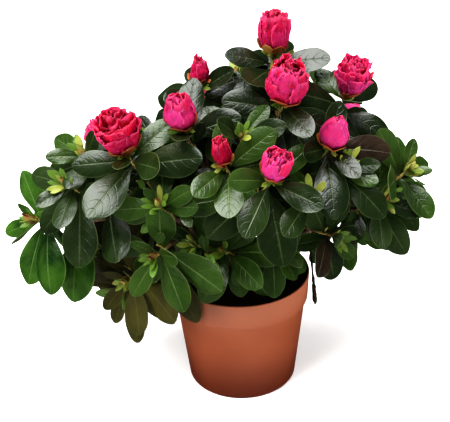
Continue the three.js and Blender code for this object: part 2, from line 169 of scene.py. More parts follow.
def smooth(mesh, sharp_angle):
    """The mesh, shaded smooth up to a sharp angle in degrees."""
    mesh.polygons.foreach_set("use_smooth", [True] * len(mesh.polygons))
    mesh.set_sharp_from_angle(angle=math.radians(sharp_angle))
    return mesh


def place_piece(name, mesh, nodes, finishes):
    """A finished piece on the plant's one body, which stands for the nodes that it replaces."""
    for finish in finishes:
        mesh.materials.append(finish.material)
    piece = bpy.data.objects.new(name, mesh)
    bpy.context.collection.objects.link(piece)
    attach(piece, "root")
    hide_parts(*nodes)
    return piece


pot_low, pot_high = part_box("flower_pot")
pot_height = pot_high.z
rim_radius = (pot_high.x - pot_low.x) / 2
rim_band = 0.024
rim_step = 0.002
base_radius = 0.047
body_top_radius = 0.0565
pot_wall = 0.002
pot_floor = 0.0025
pot_sides = 96
drain_holes = 6
drain_radius = 0.004
drain_ring = 0.030
band_foot = pot_height - rim_band
band_radius = body_top_radius + rim_step
pot_profile = [
    (0, 0),
    (base_radius, 0),
    (body_top_radius, band_foot),
    (band_radius, band_foot),
    (rim_radius, pot_height),
    (rim_radius - pot_wall, pot_height),
    (band_radius - pot_wall, band_foot + pot_wall),
    (body_top_radius - pot_wall, band_foot),
    (base_radius - pot_wall, pot_floor),
    (0, pot_floor),
]

# Which corners of that profile are rounded, each with its radius and its count of segments
rounded_corners = ((1, 0.003, 5), (2, 0.0006, 2), (3, 0.0009, 3), (4, 0.0008, 3), (5, 0.0008, 3))
turned = bmesh.new()
corners = [turned.verts.new((radius, 0, height)) for radius, height in pot_profile]
profile = [turned.edges.new(pair) for pair in zip(corners, corners[1:])]
bmesh.ops.spin(
    turned,
    geom=corners + profile,
    cent=(0, 0, 0),
    axis=(0, 0, 1),
    angle=2 * math.pi,
    steps=pot_sides,
    use_merge=True,
)
bmesh.ops.remove_doubles(turned, verts=turned.verts, dist=1e-6)
bmesh.ops.recalc_face_normals(turned, faces=turned.faces)
for corner, size, segments in rounded_corners:
    radius, height = pot_profile[corner]
    ring = [
        edge
        for edge in turned.edges
        if all(abs(math.hypot(*v.co.xy) - radius) + abs(v.co.z - height) < 1e-5 for v in edge.verts)
    ]
    bmesh.ops.bevel(
        turned,
        geom=ring,
        offset=size,
        offset_type="OFFSET",
        affect="EDGES",
        segments=segments,
        profile=0.5,
        material=-1,
    )
for face in turned.faces:
    middle = face.calc_center_median()
    inside_wall = face.normal.x * middle.x + face.normal.y * middle.y < 0
    inside_floor = face.normal.z > 0.5 and middle.z < 2 * pot_floor
    face.material_index = int(inside_wall or inside_floor)
pot_mesh = smooth(mesh_of("flower_pot", turned), 50)

# The outside is darker and redder towards its foot, paler towards its rim, and finely speckled
terracotta = Finish("terracotta_plastic", Roughness=0.42, Specular_IOR_Level=0.45)
waist = 0.6 * pot_height
shoulder = 0.95 * pot_height
spot = terracotta.place()
cloud = terracotta.noise(spot, 22, 4)
speck = terracotta.noise(spot, 900, 2)
height_up = spot.node("SeparateXYZ", {}, {0: spot}, output=2)
painted_foot_shade = 1 - height_up.step(0, waist)
painted_rim_light = height_up.step(waist, shoulder)
sound = cloud.step(0.3, 0.75).blend((0.2, 0.054, 0.02, 1), (0.235, 0.065, 0.026, 1))
# Painted light: the outside pales towards the rim band
pale = (painted_rim_light * 0.8).blend(sound, (0.262, 0.093, 0.048, 1))
# Painted shade: the outside darkens and reddens towards the pot's foot
dark = (painted_foot_shade * 0.8).blend(pale, (0.078, 0.012, 0.003, 1))
speckled = (speck.step(0.66, 0.84) * 0.6).blend(dark, (0.36, 0.115, 0.06, 1))
terracotta.feed("Base Color", speckled)
terracotta.feed("Roughness", 0.36 + cloud * 0.16)
terracotta.bump(speck + cloud * 2, 0.00012, 0.5)

black_plastic = Finish("black_plastic", Roughness=0.5, Specular_IOR_Level=0.4)
dust = black_plastic.noise(black_plastic.place(), 160, 4)
dusty = dust.step(0.45, 0.8).blend((0.006, 0.005, 0.005, 1), (0.02, 0.015, 0.012, 1))
black_plastic.feed("Base Color", dusty)
black_plastic.bump(dust, 0.0003, 0.6)
flower_pot = place_piece("pot", pot_mesh, ["flower_pot"], [terracotta, black_plastic])

drills = bmesh.new()
for k in range(drain_holes):
    turn = 2 * math.pi * k / drain_holes
    bmesh.ops.create_cone(
        drills,
        cap_ends=True,
        segments=24,
        radius1=drain_radius,
        radius2=drain_radius,
        depth=4 * pot_floor,
        matrix=Matrix.Translation((drain_ring * math.cos(turn), drain_ring * math.sin(turn), 0)),
    )
drill = bpy.data.objects.new("drills", mesh_of("drills", drills))
bpy.context.collection.objects.link(drill)
cut = flower_pot.modifiers.new("drain_holes", "BOOLEAN")
cut.object = drill
cut.solver = "EXACT"
depsgraph = bpy.context.evaluated_depsgraph_get()
bored = bpy.data.meshes.new_from_object(flower_pot.evaluated_get(depsgraph))
flower_pot.modifiers.clear()
flower_pot.data = bored
bpy.data.objects.remove(drill)


# Potting soil
# Dark, damp peat that fills the pot to a little below its rim. Its top is uneven, and crumbs of
# peat and short fibres lie loose on it.
soil_cells = 72
soil_gap = 0.0006
soil_foot_gap = 0.0005
unevenness = 0.0012
lumps_per_metre = 90
crumb_count = 900
smallest_crumb = 0.0004
crumb_spread = 0.0016
crumb_sink = 0.0008
crumb_stretches = (0.6, 1.4)
crumb_clear_of_rim = 0.002
soil_low, soil_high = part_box("potting_soil")
soil_top = soil_high.z
soil_radius = (soil_high.x - soil_low.x) / 2 - soil_gap
heap = bmesh.new()
bmesh.ops.create_grid(heap, x_segments=soil_cells, y_segments=soil_cells, size=soil_radius)
outside = [vert for vert in heap.verts if math.hypot(*vert.co.xy) > soil_radius]
bmesh.ops.delete(heap, geom=outside, context="VERTS")
rim = [vert for vert in heap.verts if vert.is_boundary]
for vert in heap.verts:
    lumps = noise.fractal(vert.co * lumps_per_metre, 0.7, 2.1, 4)
    vert.co.z = soil_top - unevenness + unevenness * lumps
for vert in rim:
    vert.co.xy = vert.co.xy.normalized() * soil_radius
skirt = bmesh.ops.extrude_edge_only(heap, edges=[edge for edge in heap.edges if edge.is_boundary])
for vert in (part for part in skirt["geom"] if isinstance(part, bmesh.types.BMVert)):
    vert.co.z = pot_floor + soil_foot_gap
    vert.co.xy = vert.co.xy.normalized() * (base_radius - pot_wall - soil_gap)
bmesh.ops.holes_fill(heap, edges=[edge for edge in heap.edges if edge.is_boundary], sides=0)
bmesh.ops.recalc_face_normals(heap, faces=heap.faces)
crumbs = np.random.default_rng(11)
for k in range(crumb_count):
    reach = (soil_radius - crumb_clear_of_rim) * math.sqrt(crumbs.random())
    turn = 2 * math.pi * crumbs.random()
    size = smallest_crumb + crumb_spread * crumbs.random() ** 3
    stretch = Matrix.Diagonal((*(size * crumbs.uniform(*crumb_stretches, 3)), 1))
    spin = Matrix.Rotation(math.pi * crumbs.random(), 4, Vector(crumbs.normal(size=3)))
    rest = Matrix.Translation((reach * math.cos(turn), reach * math.sin(turn), soil_top - crumb_sink))
    bmesh.ops.create_icosphere(heap, subdivisions=1, radius=1, matrix=rest @ spin @ stretch)
soil_mesh = smooth(mesh_of("soil", heap), 60)

peat = Finish("peat", Roughness=0.95, Specular_IOR_Level=0.25)
spot = peat.place()
clod = peat.noise(spot, 260, 5, 0.7)
fibre = peat.noise(spot, 900, 2)
brown = clod.step(0.35, 0.7).blend((0.012, 0.008, 0.006, 1), (0.045, 0.027, 0.016, 1))
peat.feed("Base Color", fibre.step(0.68, 0.8).blend(brown, (0.12, 0.08, 0.05, 1)))
peat.bump(clod + fibre * 0.5, 0.0008)
place_piece("soil", soil_mesh, ["potting_soil"], [peat])


# Trunk
# The shrub's short stem, cut flat where it stands on the peat: grey-brown bark with long fissures
# and four root ridges, leaning towards the front up to where it forks.
mm = 0.001
upwards = np.array([0.0, 0.0, 1.0])
trunk_height = 27
trunk_radius = 5
trunk_tip_radius = 3.6
root_flare = 4.5
flare_share = 0.3
root_ridges = 4
ridge_depth = 0.3
trunk_sides = 48
trunk_rings = 26
trunk_relief = 0.00045
fissures_across = 900
fissures_up = 160
crust_per_metre = 1500
crust_share = 0.6
trunk_lean = np.array([1.0, -4.0, trunk_height])
trunk_foot = np.array([6.0, 2.0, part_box("trunk")[0].z / mm])
fork = trunk_foot + trunk_lean


def bark_relief(place, depth):
    """How far bark stands out at a place, with fissures that run upwards."""
    fissure = Vector((place.x * fissures_across, place.y * fissures_across, place.z * fissures_up))
    ridge = 1 - 2 * abs(noise.noise(fissure))
    return depth * (ridge + crust_share * noise.noise(place * crust_per_metre))


stem = bmesh.new()
bmesh.ops.create_cone(stem, cap_ends=True, segments=trunk_sides, radius1=1, radius2=1, depth=1)
staves = [edge for edge in stem.edges if abs(edge.verts[0].co.z - edge.verts[1].co.z) > 0.5]
bmesh.ops.subdivide_edges(stem, edges=staves, cuts=trunk_rings)
for vert in stem.verts:
    share = vert.co.z + 0.5
    angle = math.atan2(vert.co.y, vert.co.x)
    ridged = 1 - ridge_depth + ridge_depth * math.cos(root_ridges * angle)
    flare = root_flare * max(0, 1 - share / flare_share) ** 2 * ridged
    radius = (trunk_radius + (trunk_tip_radius - trunk_radius) * share + flare) * mm
    centre = Vector((trunk_foot + trunk_lean * share) * mm)
    outwards = Vector((math.cos(angle), math.sin(angle), 0))
    place = centre + radius * outwards
    vert.co = place + bark_relief(place, trunk_relief) * outwards
trunk_mesh = smooth(mesh_of("stem", stem), 60)

bark = Finish("bark", Roughness=0.85, Specular_IOR_Level=0.3)
spot = bark.place()
stretched = spot.node("Mapping", {}, {0: spot, "Scale": (1, 1, 0.2)})
grain = bark.noise(stretched, 900, 5, 0.65)
lichen = bark.noise(spot, 130, 3)
wood = grain.step(0.32, 0.72).blend((0.055, 0.034, 0.022, 1), (0.23, 0.15, 0.1, 1))
bark.feed("Base Color", (lichen.step(0.55, 0.8) * 0.5).blend(wood, (0.2, 0.17, 0.13, 1)))
bark.bump(grain, 0.0006)
place_piece("stem", trunk_mesh, ["trunk"], [bark])


# Boughs
# One woody limb to each mass of foliage. It leaves the trunk the higher the more steeply it climbs,
# sags a little, and tapers all the way to the heart of its mass, where its shoots part.
bough_root_radius = 3.1
bough_tip_radius = 2.2
lowest_bough = 0.3
bough_span = 0.55
bough_sag = 0.1
bough_rings = 34
bough_relief = 0.00035

# Turn and lift in degrees and reach in millimetres: a bough's from the fork, and a shoot's from the
# bough's end. Some shoots also say to which side their oldest leaf points and how large their
# leaves are. A bloom stands under its shoot's place in the row, and a withered shoot by itself.
masses = {
    "far_left": dict(
        bough=(188, 29, 104), shoots=[(194, 56, 73, 240), (210, 36, 74, 240), (192, 4, 84, 300, 1.2)]
    ),
    "low_left": dict(
        bough=(188, 8, 70), shoots=[(222, -10, 44, 270, 1.1), (184, 8, 54, 250), (204, -32, 50, 240, 1.1)]
    ),
    "front_left": dict(
        bough=(223, 40, 85), shoots=[(202, 57, 87), (229, -13, 42, 50), (242, 42, 58)], blooms={0: "open"}
    ),
    "upper_left": dict(
        bough=(208, 68, 98),
        shoots=[(247, 53, 67, 120), (110, 84, 70, 180), (184, 36, 52)],
        blooms={0: "half_open", 1: "slim"},
    ),
    "centre_front": dict(
        bough=(270, 59, 86),
        shoots=[(238, 55, 59), (293, 42, 61, 270), (253, 76, 68)],
        blooms={0: "slim", 1: "squarish"},
    ),
    "low_front": dict(bough=(260, 34, 52), shoots=[(240, 26, 30, 20), (318, 24, 50, 310), (214, 26, 48)]),
    "crown": dict(
        bough=(324, 82, 102),
        shoots=[(46, 78, 80, 140), (291, 53, 77), (131, 66, 63)],
        blooms={0: "barrel", 1: "ruffled"},
    ),
    "upper_right": dict(
        bough=(344, 62, 98),
        shoots=[(357, 60, 72, 240), (291, 39, 68, 0), (61, 62, 69)],
        blooms={0: "goblet", 1: "closed"},
    ),
    "front_right": dict(bough=(312, 44, 78), shoots=[(327, 54, 74), (325, -4, 36), (283, 46, 58)]),
    "far_right": dict(bough=(347, 34, 86), shoots=[(343, 36, 74, 100), (320, 28, 56, 0), (24, 26, 60)]),
    "back_left": dict(
        bough=(150, 24, 92), shoots=[(168, 34, 60), (136, 16, 68), (184, 0, 54)], blooms={1: "ruffled"}
    ),
    "back_crown": dict(
        bough=(98, 58, 78), shoots=[(112, 28, 62), (55, 30, 62), (150, 22, 54)], blooms={0: "goblet"}
    ),
    "back_middle": dict(bough=(96, 26, 84), shoots=[(86, 36, 56), (116, 8, 60), (70, -2, 56)]),
    "back_right": dict(
        bough=(40, 28, 90), shoots=[(26, 36, 62), (58, 18, 66), (12, 4, 58)], blooms={1: "half_open"}
    ),
    "low_back": dict(bough=(128, 8, 66), shoots=[(118, 4, 50), (152, 0, 50), (92, -6, 46)]),
    "low_right": dict(
        bough=(16, 22, 58), shoots=[(352, 16, 42, 190), (38, 8, 46), (14, 28, 48)], withered=(279, -62, 70)
    ),
}


def unit(vector):
    """A vector's direction, one long."""
    return vector / np.linalg.norm(vector)


def polar(turn, lift, reach):
    """A vector from its turn and lift in degrees and its reach."""
    turn, lift = math.radians(turn), math.radians(lift)
    level = reach * math.cos(lift)
    return np.array([level * math.cos(turn), level * math.sin(turn), reach * math.sin(lift)])


class Course:
    """A limb's quadratic curve, given by its two ends and the point that it bends towards."""

    def __init__(self, start, bend, end):
        self.start = start
        self.bend = bend
        self.end = end

    def point(self, t):
        return (1 - t) ** 2 * self.start + 2 * (1 - t) * t * self.bend + t**2 * self.end

    def tangent(self, t, reach=1e-4):
        return unit(self.point(min(1, t + reach)) - self.point(max(0, t - reach)))


def limb_piece(name, limbs, finish, nodes, relief, sides=4):
    """Round tapering limbs, each given by its points and radii in millimetres, with bark relief."""
    curve = bpy.data.curves.new(name, "CURVE")
    curve.dimensions = "3D"
    curve.bevel_depth = mm
    curve.bevel_resolution = sides
    curve.use_fill_caps = True
    for points, radii in limbs:
        spline = curve.splines.new("POLY")
        spline.points.add(len(points) - 1)
        spline.points.foreach_set("co", np.column_stack([points * mm, np.ones(len(points))]).ravel())
        spline.points.foreach_set("radius", radii)
    tube = bpy.data.objects.new(name, curve)
    mesh = bpy.data.meshes.new_from_object(tube)
    bpy.data.objects.remove(tube)
    mesh.name = name
    for vert, normal in [(vert, vert.normal.copy()) for vert in mesh.vertices]:
        vert.co += bark_relief(vert.co, relief) * normal
    return place_piece(name, smooth(mesh, 60), nodes, [finish])


def stretch_of(course, low, high, count, radius_low, radius_high):
    """The points and radii of a stretch of a course."""
    shares = np.linspace(low, high, count)
    points = np.array([course.point(t) for t in shares])
    return points, np.linspace(radius_low, radius_high, count)


for mass in masses.values():
    turn, lift, reach = mass["bough"]
    heart = fork + polar(turn, lift, reach)
    root = trunk_foot + trunk_lean * (lowest_bough + bough_span * lift / 90)
    sag = bough_sag * np.linalg.norm(heart - root)
    mass["heart"] = heart
    mass["course"] = Course(root, (root + heart) / 2 - upwards * sag, heart)
bough_limbs = [
    stretch_of(mass["course"], 0, 1, bough_rings, bough_root_radius, bough_tip_radius)
    for mass in masses.values()
]
bough_nodes = [name + "_bough" for name in masses]
limb_piece("limbs", bough_limbs, bark, bough_nodes, bough_relief, sides=6)


# Twigs
# Three shoots part from the end of each bough: brown and woody at first, then soft, yellow-green
# growth of this year that carries the leaves.
twig_radius = 1.7
young_radius = 1.45
twig_tip_radius = 1.1
twig_upturn = 0.07
woody_share = 0.55
woody_rings = 14
young_rings = 12
woody_relief = 0.0002
young_relief = 0.00006


class Shoot:
    """One shoot: its mass, its place in the mass's row, its course, its number and any bloom."""

    def __init__(self, mass_place, mass_name, place, row, heart):
        turn, lift, self.length, *wishes = row
        self.mass = mass_place
        self.mass_name = mass_name
        self.place = place
        self.oldest_turn = wishes[0] if wishes else None
        self.size = wishes[1] if len(wishes) > 1 else 1
        self.tip = heart + polar(turn, lift, self.length)
        bend = (heart + self.tip) / 2 - upwards * twig_upturn * self.length
        self.course = Course(heart, bend, self.tip)
        self.number = None
        self.bloom = None


shoots = []
for mass_place, (mass_name, mass) in enumerate(masses.items()):
    for place, row in enumerate(mass["shoots"]):
        shoots.append(Shoot(mass_place, mass_name, place, row, mass["heart"]))
        shoots[-1].number = len(shoots) - 1
foliage_nodes = [name + "_foliage" for name in masses]
woody = [
    stretch_of(shoot.course, 0, woody_share, woody_rings, twig_radius, young_radius)
    for shoot in shoots
]
green = [
    stretch_of(shoot.course, woody_share, 1, young_rings, young_radius, twig_tip_radius)
    for shoot in shoots
]
limb_piece("twigs", woody, bark, foliage_nodes, woody_relief)

green_wood = Finish("green_wood", Roughness=0.55, Specular_IOR_Level=0.4)
streak = green_wood.noise(green_wood.place(), 220, 3)
streaked = streak.step(0.35, 0.7).blend((0.3, 0.27, 0.07, 1), (0.22, 0.12, 0.045, 1))
green_wood.feed("Base Color", streaked)
green_wood.bump(streak, 0.0002)
limb_piece("young_shoots", green, green_wood, foliage_nodes, young_relief)


# Leaves
# Leathery evergreen leaves, which stand in a whorl round each shoot's tip, with a few older ones
# below, and turn their faces up and out. A leaf that would touch another, a limb, a bloom or the pot
# moves or is left out. The part's solids grow by the same rule, with the same numbers.
golden_angle = 137.5
whorl_seed = 1
whorl_leaves = 10
leaves_fewer_at_bloom = 2
whorl_depth = 12
whorl_turn_play = 12
whorl_pitch_play = 8
lower_seed = 51
lower_leaves = 4
lower_leaf_step = 11
lower_leaf_start = 0.75
lower_step_play = 0.15
lower_leaf_size = 0.97
lower_pitch = 80
lower_turn_play = 20
lower_pitch_play = 10
length_play = 0.12
old_leaf_length = 57
young_leaf_length = 20
old_leaf_width = 0.5
young_leaf_width = 0.36
young_pitch = 34
old_pitch = 96
young_droop = 0.1
old_droop = 1.1

# A leaf's stations, its stalk, the powers that shape its outline, and which way its face turns
leaf_stations = 12
petiole_share = 0.1
petiole_width = 1.8
widest_power = 1.2
fullness_power = 0.62
crown_middle = 35
crown_half_depth = 50
face_turn = 1.8
face_rise = 0.4

# From which share of its length a leaf keeps clear of its own twig, and how far of all the rest
clear_of_own_twig = 0.35
slab_play = 0.6
clear_of_shoot = 1.2
clear_of_mass = 1.8
clear_of_others = 3
clear_of_own_limbs = 0.6
clear_of_other_limbs = 2
clear_of_own_blooms = 1
clear_of_other_blooms = 3
clear_of_pot = 3
clear_of_soil = 4
near_enough = 4

# How thick limbs are to the leaves, how the withered twig arches, and how many steps each is taken in
solid_twig_radius = 2.1
withered_radius = 1.3
withered_arch = 0.2
bough_steps = 30
shoot_steps = 20
trunk_steps = 6

# Degrees round the twig, degrees off its line, and the share of the full length of each place that
# a leaf may move to
leaf_tries = [
    (0, 0, 1), (15, 0, 1), (-15, 0, 1), (0, 13, 1), (0, -13, 1), (28, 6, 0.94), (-28, 6, 0.94),
    (14, -20, 0.88), (-14, -20, 0.88), (0, 24, 0.85), (42, 0, 0.8), (-42, 0, 0.8), (0, 0, 0.7),
]

# Length and greatest width of each kind of bloom
bloom_kinds = {
    "open": (33, 40),
    "ruffled": (32, 31),
    "barrel": (32, 26),
    "goblet": (28, 30),
    "squarish": (27, 23),
    "half_open": (28, 25),
    "closed": (28, 23),
    "slim": (25, 15),
}
bloom_upturn = 0.9
for shoot in shoots:
    kind = masses[shoot.mass_name].get("blooms", {}).get(shoot.place)
    if kind:
        axis = unit(shoot.course.tangent(1) + upwards * bloom_upturn)
        shoot.bloom = (kind, shoot.tip, axis)


def seeded(seed):
    """A seeded stream of numbers from 0 to 1."""
    state = (seed * 48271 + 11) % 2147483647

    def draw():
        nonlocal state
        state = state * 16807 % 2147483647
        return state / 2147483647

    return draw


def vary(draw, spread):
    """A number between minus and plus the spread."""
    return spread * (2 * draw() - 1)


withered_course = None
for mass in masses.values():
    if "withered" in mass:
        tip = mass["heart"] + polar(*mass["withered"])
        arch = (mass["heart"] + tip) / 2 + upwards * withered_arch * mass["withered"][2]
        withered_course = Course(mass["heart"], arch, tip)

# Every limb as points, each with its radius, its mass and its shoot's number, or -1 for none
limb_rows = []
for mass in masses.values():
    for k in range(bough_steps + 1):
        radius = bough_root_radius + (bough_tip_radius - bough_root_radius) * k / bough_steps
        limb_rows.append((*mass["course"].point(k / bough_steps), radius, -1, -1))
for shoot in shoots:
    for k in range(shoot_steps + 1):
        point = shoot.course.point(k / shoot_steps)
        limb_rows.append((*point, solid_twig_radius, shoot.mass, shoot.number))
withered_mass = list(masses).index("low_right")
for k in range(shoot_steps + 1):
    limb_rows.append((*withered_course.point(k / shoot_steps), withered_radius, withered_mass, -1))
for k in range(trunk_steps + 1):
    radius = trunk_radius + (root_flare if k == 0 else 0)
    limb_rows.append((*(trunk_foot + trunk_lean * k / trunk_steps), radius, -1, -1))
limb_rows = np.array(limb_rows)


def leaf_half_width(width, share):
    """Half the room that a leaf needs to each side, at a share of its length."""
    along = np.clip((share - petiole_share) / (1 - petiole_share), 0, 1)
    outline = np.sin(np.pi * along**widest_power).clip(0) ** fullness_power
    blade = np.maximum(petiole_width / 2, width / 2 * outline)
    return np.where(share < petiole_share, petiole_width / 2, blade)


class Leaf:
    """A leaf's midrib as stations, each with its place, its course, its side and its face. It
    stands back from its shoot's tip, turned round the shoot and pitched off its line in degrees."""

    shares = np.arange(leaf_stations + 1) / leaf_stations

    def __init__(self, shoot, back, turn, pitch, length, width, droop):
        share = max(0, 1 - back / shoot.length)
        base = shoot.course.point(share)
        axis = shoot.course.tangent(share)
        level = unit(np.array([axis[1], -axis[0], 0]))
        over = np.cross(level, axis)
        turn, pitch = math.radians(turn), math.radians(pitch)
        out = level * math.cos(turn) + over * math.sin(turn)
        along = axis * math.cos(pitch) + out * math.sin(pitch)
        forwards = max(-1, min(1, (crown_middle - base[1]) / crown_half_depth))
        outlook = np.array([0, -face_turn * forwards, face_rise])
        face = axis * math.sin(pitch) - out * math.cos(pitch) + outlook
        self.shoot = shoot
        self.length = length
        self.width = width
        self.half = leaf_half_width(width, self.shares)
        self.age = 1.0
        stations = []
        at = base
        bend = droop / leaf_stations / 2
        for _ in self.shares:
            face = unit(face - along * np.dot(face, along))
            stations.append((at, along, np.cross(along, face), face))
            at = at + along * length / leaf_stations
            along = unit(along - (face + upwards) * bend)
        self.at, self.along, self.side, self.face = (np.array(row) for row in zip(*stations))
        self.middle = self.at[leaf_stations // 2]
        across = np.array([-1, -0.5, 0, 0.5, 1])
        edges = self.half[1:, None, None] * across[None, :, None] * self.side[1:, None, :]
        self.samples = (self.at[1:, None, :] + edges).reshape(-1, 3)
        self.sample_shares = np.repeat(self.shares[1:], len(across))
        self.reach = length / leaf_stations / 2 + slab_play


def in_slabs(points, frames, half, reach, clear, stations_from):
    """Which of each row's points lie in the slabs that the same row's leaf takes up."""
    at, along, side, face = frames
    away = points[:, :, None, :] - at[:, None, :, :]
    hit = np.abs(np.einsum("nmkc,nkc->nmk", away, along)) <= reach[:, None, None]
    hit &= np.abs(np.einsum("nmkc,nkc->nmk", away, side)) <= half[:, None, :] + clear[:, :, None]
    hit &= np.abs(np.einsum("nmkc,nkc->nmk", away, face)) < clear[:, :, None]
    hit &= np.arange(leaf_stations + 1)[None, None, :] >= stations_from[:, :, None]
    return hit.any(axis=2)


def frames_of(leaves):
    """The places, courses, sides and faces of all the leaves' stations."""
    return [np.array([getattr(leaf, part) for leaf in leaves]) for part in ("at", "along", "side", "face")]


def leaves_meet(leaf, grown, middles, lengths):
    """Whether a leaf comes too near any leaf that has grown."""
    if not grown:
        return False
    far = np.linalg.norm(middles - leaf.middle, axis=1) > (lengths + leaf.length) / 2 + near_enough
    near = [grown[k] for k in np.nonzero(~far)[0]]
    if not near:
        return False
    own = np.array([other.shoot is leaf.shoot for other in near])
    kin = np.array([other.shoot.mass == leaf.shoot.mass for other in near])
    clear = np.where(own, clear_of_shoot, np.where(kin, clear_of_mass, clear_of_others))
    from_share = np.where(own, clear_of_own_twig, 0)
    first = np.ceil(from_share * leaf_stations)
    count = len(leaf.samples)
    used = leaf.sample_shares[None, :] >= from_share[:, None]
    clear = np.repeat(clear[:, None], count, axis=1)
    first = np.repeat(first[:, None], count, axis=1)
    mine = np.repeat(leaf.samples[None], len(near), axis=0)
    theirs = np.array([other.samples for other in near])
    their_half = np.array([other.half for other in near])
    their_reach = np.array([other.reach for other in near])
    if (in_slabs(mine, frames_of(near), their_half, their_reach, clear, first) & used).any():
        return True
    my_frames = [np.repeat(part, len(near), axis=0) for part in frames_of([leaf])]
    my_half = np.repeat(leaf.half[None], len(near), axis=0)
    my_reach = np.full(len(near), leaf.reach)
    return bool((in_slabs(theirs, my_frames, my_half, my_reach, clear, first) & used).any())


def leaf_is_blocked(leaf):
    """Whether a leaf meets a limb, a bloom, the pot or the soil."""
    places, radii = limb_rows[:, :3], limb_rows[:, 3]
    owners, owner_shoots = limb_rows[:, 4], limb_rows[:, 5]
    near = np.linalg.norm(places - leaf.middle, axis=1) <= leaf.length / 2 + radii + near_enough
    own = owner_shoots[near] == leaf.shoot.number
    kin = owners[near] == leaf.shoot.mass
    clear = radii[near] + np.where(kin, clear_of_own_limbs, clear_of_other_limbs)
    first = np.ceil(np.where(own, clear_of_own_twig, clear_of_own_twig / 2) * leaf_stations)
    spots = places[near][None]
    reach = np.array([leaf.reach])
    if in_slabs(spots, frames_of([leaf]), leaf.half[None], reach, clear[None], first[None]).any():
        return True
    for shoot in shoots:
        if not shoot.bloom:
            continue
        kind, base, axis = shoot.bloom
        length, width = bloom_kinds[kind]
        clear = clear_of_own_blooms if shoot.mass == leaf.shoot.mass else clear_of_other_blooms
        away = leaf.samples - (base + axis * length / 2)
        rise = away @ axis
        aside = np.sqrt(np.maximum(0, (away**2).sum(axis=1) - rise**2))
        inside = np.hypot(rise / (length / 2 + clear), aside / (width / 2 + clear)) < 1
        if shoot.number == leaf.shoot.number:
            inside &= leaf.sample_shares >= clear_of_own_twig
        if inside.any():
            return True
    x, y, z = leaf.samples.T
    radius = np.hypot(x, y)
    top, foot = pot_height / mm, band_foot / mm
    slope = (body_top_radius - base_radius) / mm / foot
    wall = np.where(z > foot, rim_radius / mm, base_radius / mm + slope * z)
    beside = (z > top + clear_of_pot) | (radius > wall + clear_of_pot)
    mouth = wall - (pot_wall + rim_step) / mm - clear_of_pot
    within = (z < soil_top / mm + clear_of_soil) | (radius > mouth)
    return bool(np.where(beside, z < clear_of_soil, within).any())


grown_leaves = []
grown_middles = np.zeros((0, 3))
grown_lengths = np.zeros(0)


def grow_free_leaf(shoot, back, turn, pitch, length, width, droop):
    """Grows a leaf at its first free place, or none."""
    global grown_middles, grown_lengths
    for more_turn, more_pitch, size in leaf_tries:
        leaf = Leaf(shoot, back, turn + more_turn, pitch + more_pitch, length * size, width * size, droop)
        if leaf_is_blocked(leaf) or leaves_meet(leaf, grown_leaves, grown_middles, grown_lengths):
            continue
        grown_leaves.append(leaf)
        grown_middles = np.vstack([grown_middles, leaf.middle])
        grown_lengths = np.append(grown_lengths, leaf.length)
        return leaf
    return None


# The whorls, from the oldest leaf of each inwards, and then the older leaves below them
for shoot in shoots:
    draw = seeded(100 * shoot.mass + shoot.place + whorl_seed)
    shoot.phase = 360 * draw() if shoot.oldest_turn is None else shoot.oldest_turn
    for k in range(whorl_leaves - leaves_fewer_at_bloom if shoot.bloom else whorl_leaves):
        age = 1 - k / (whorl_leaves - 1)
        full = young_leaf_length + (old_leaf_length - young_leaf_length) * age**0.6
        length = full * shoot.size * (1 + vary(draw, length_play))
        turn = shoot.phase + golden_angle * k + vary(draw, whorl_turn_play)
        pitch = young_pitch + (old_pitch - young_pitch) * age**0.7 + vary(draw, whorl_pitch_play)
        width = length * (young_leaf_width + (old_leaf_width - young_leaf_width) * age**0.5)
        droop = young_droop + old_droop * age * draw()
        leaf = grow_free_leaf(shoot, 1 + whorl_depth * age, turn, pitch, length, width, droop)
        if leaf:
            leaf.age = age
for shoot in shoots:
    draw = seeded(100 * shoot.mass + shoot.place + lower_seed)
    for k in range(lower_leaves):
        length = old_leaf_length * shoot.size * (lower_leaf_size + vary(draw, length_play))
        back = whorl_depth + lower_leaf_step * (k + lower_leaf_start + vary(draw, lower_step_play))
        if back > shoot.length - lower_leaf_step / 2:
            break
        turn = shoot.phase - golden_angle * (k + 1) + vary(draw, lower_turn_play)
        pitch = lower_pitch + vary(draw, lower_pitch_play)
        width = length * old_leaf_width
        droop = young_droop + old_droop * draw()
        grow_free_leaf(shoot, back, turn, pitch, length, width, droop)

# Leaves of the low front mass that hang before the right half of the pot's mouth are smaller, and leave
# its rim in sight
mouth_left = -5
mouth_top = 142
mouth_leaf_size = 0.72
for leaf in grown_leaves:
    x, y, z = leaf.at[-1]
    hangs_there = x > mouth_left and z < mouth_top and np.hypot(x, y) > rim_radius / mm
    if hangs_there and leaf.shoot.mass_name == "low_front":
        leaf.at = leaf.at[0] + (leaf.at - leaf.at[0]) * mouth_leaf_size
        leaf.length *= mouth_leaf_size
        leaf.width *= mouth_leaf_size


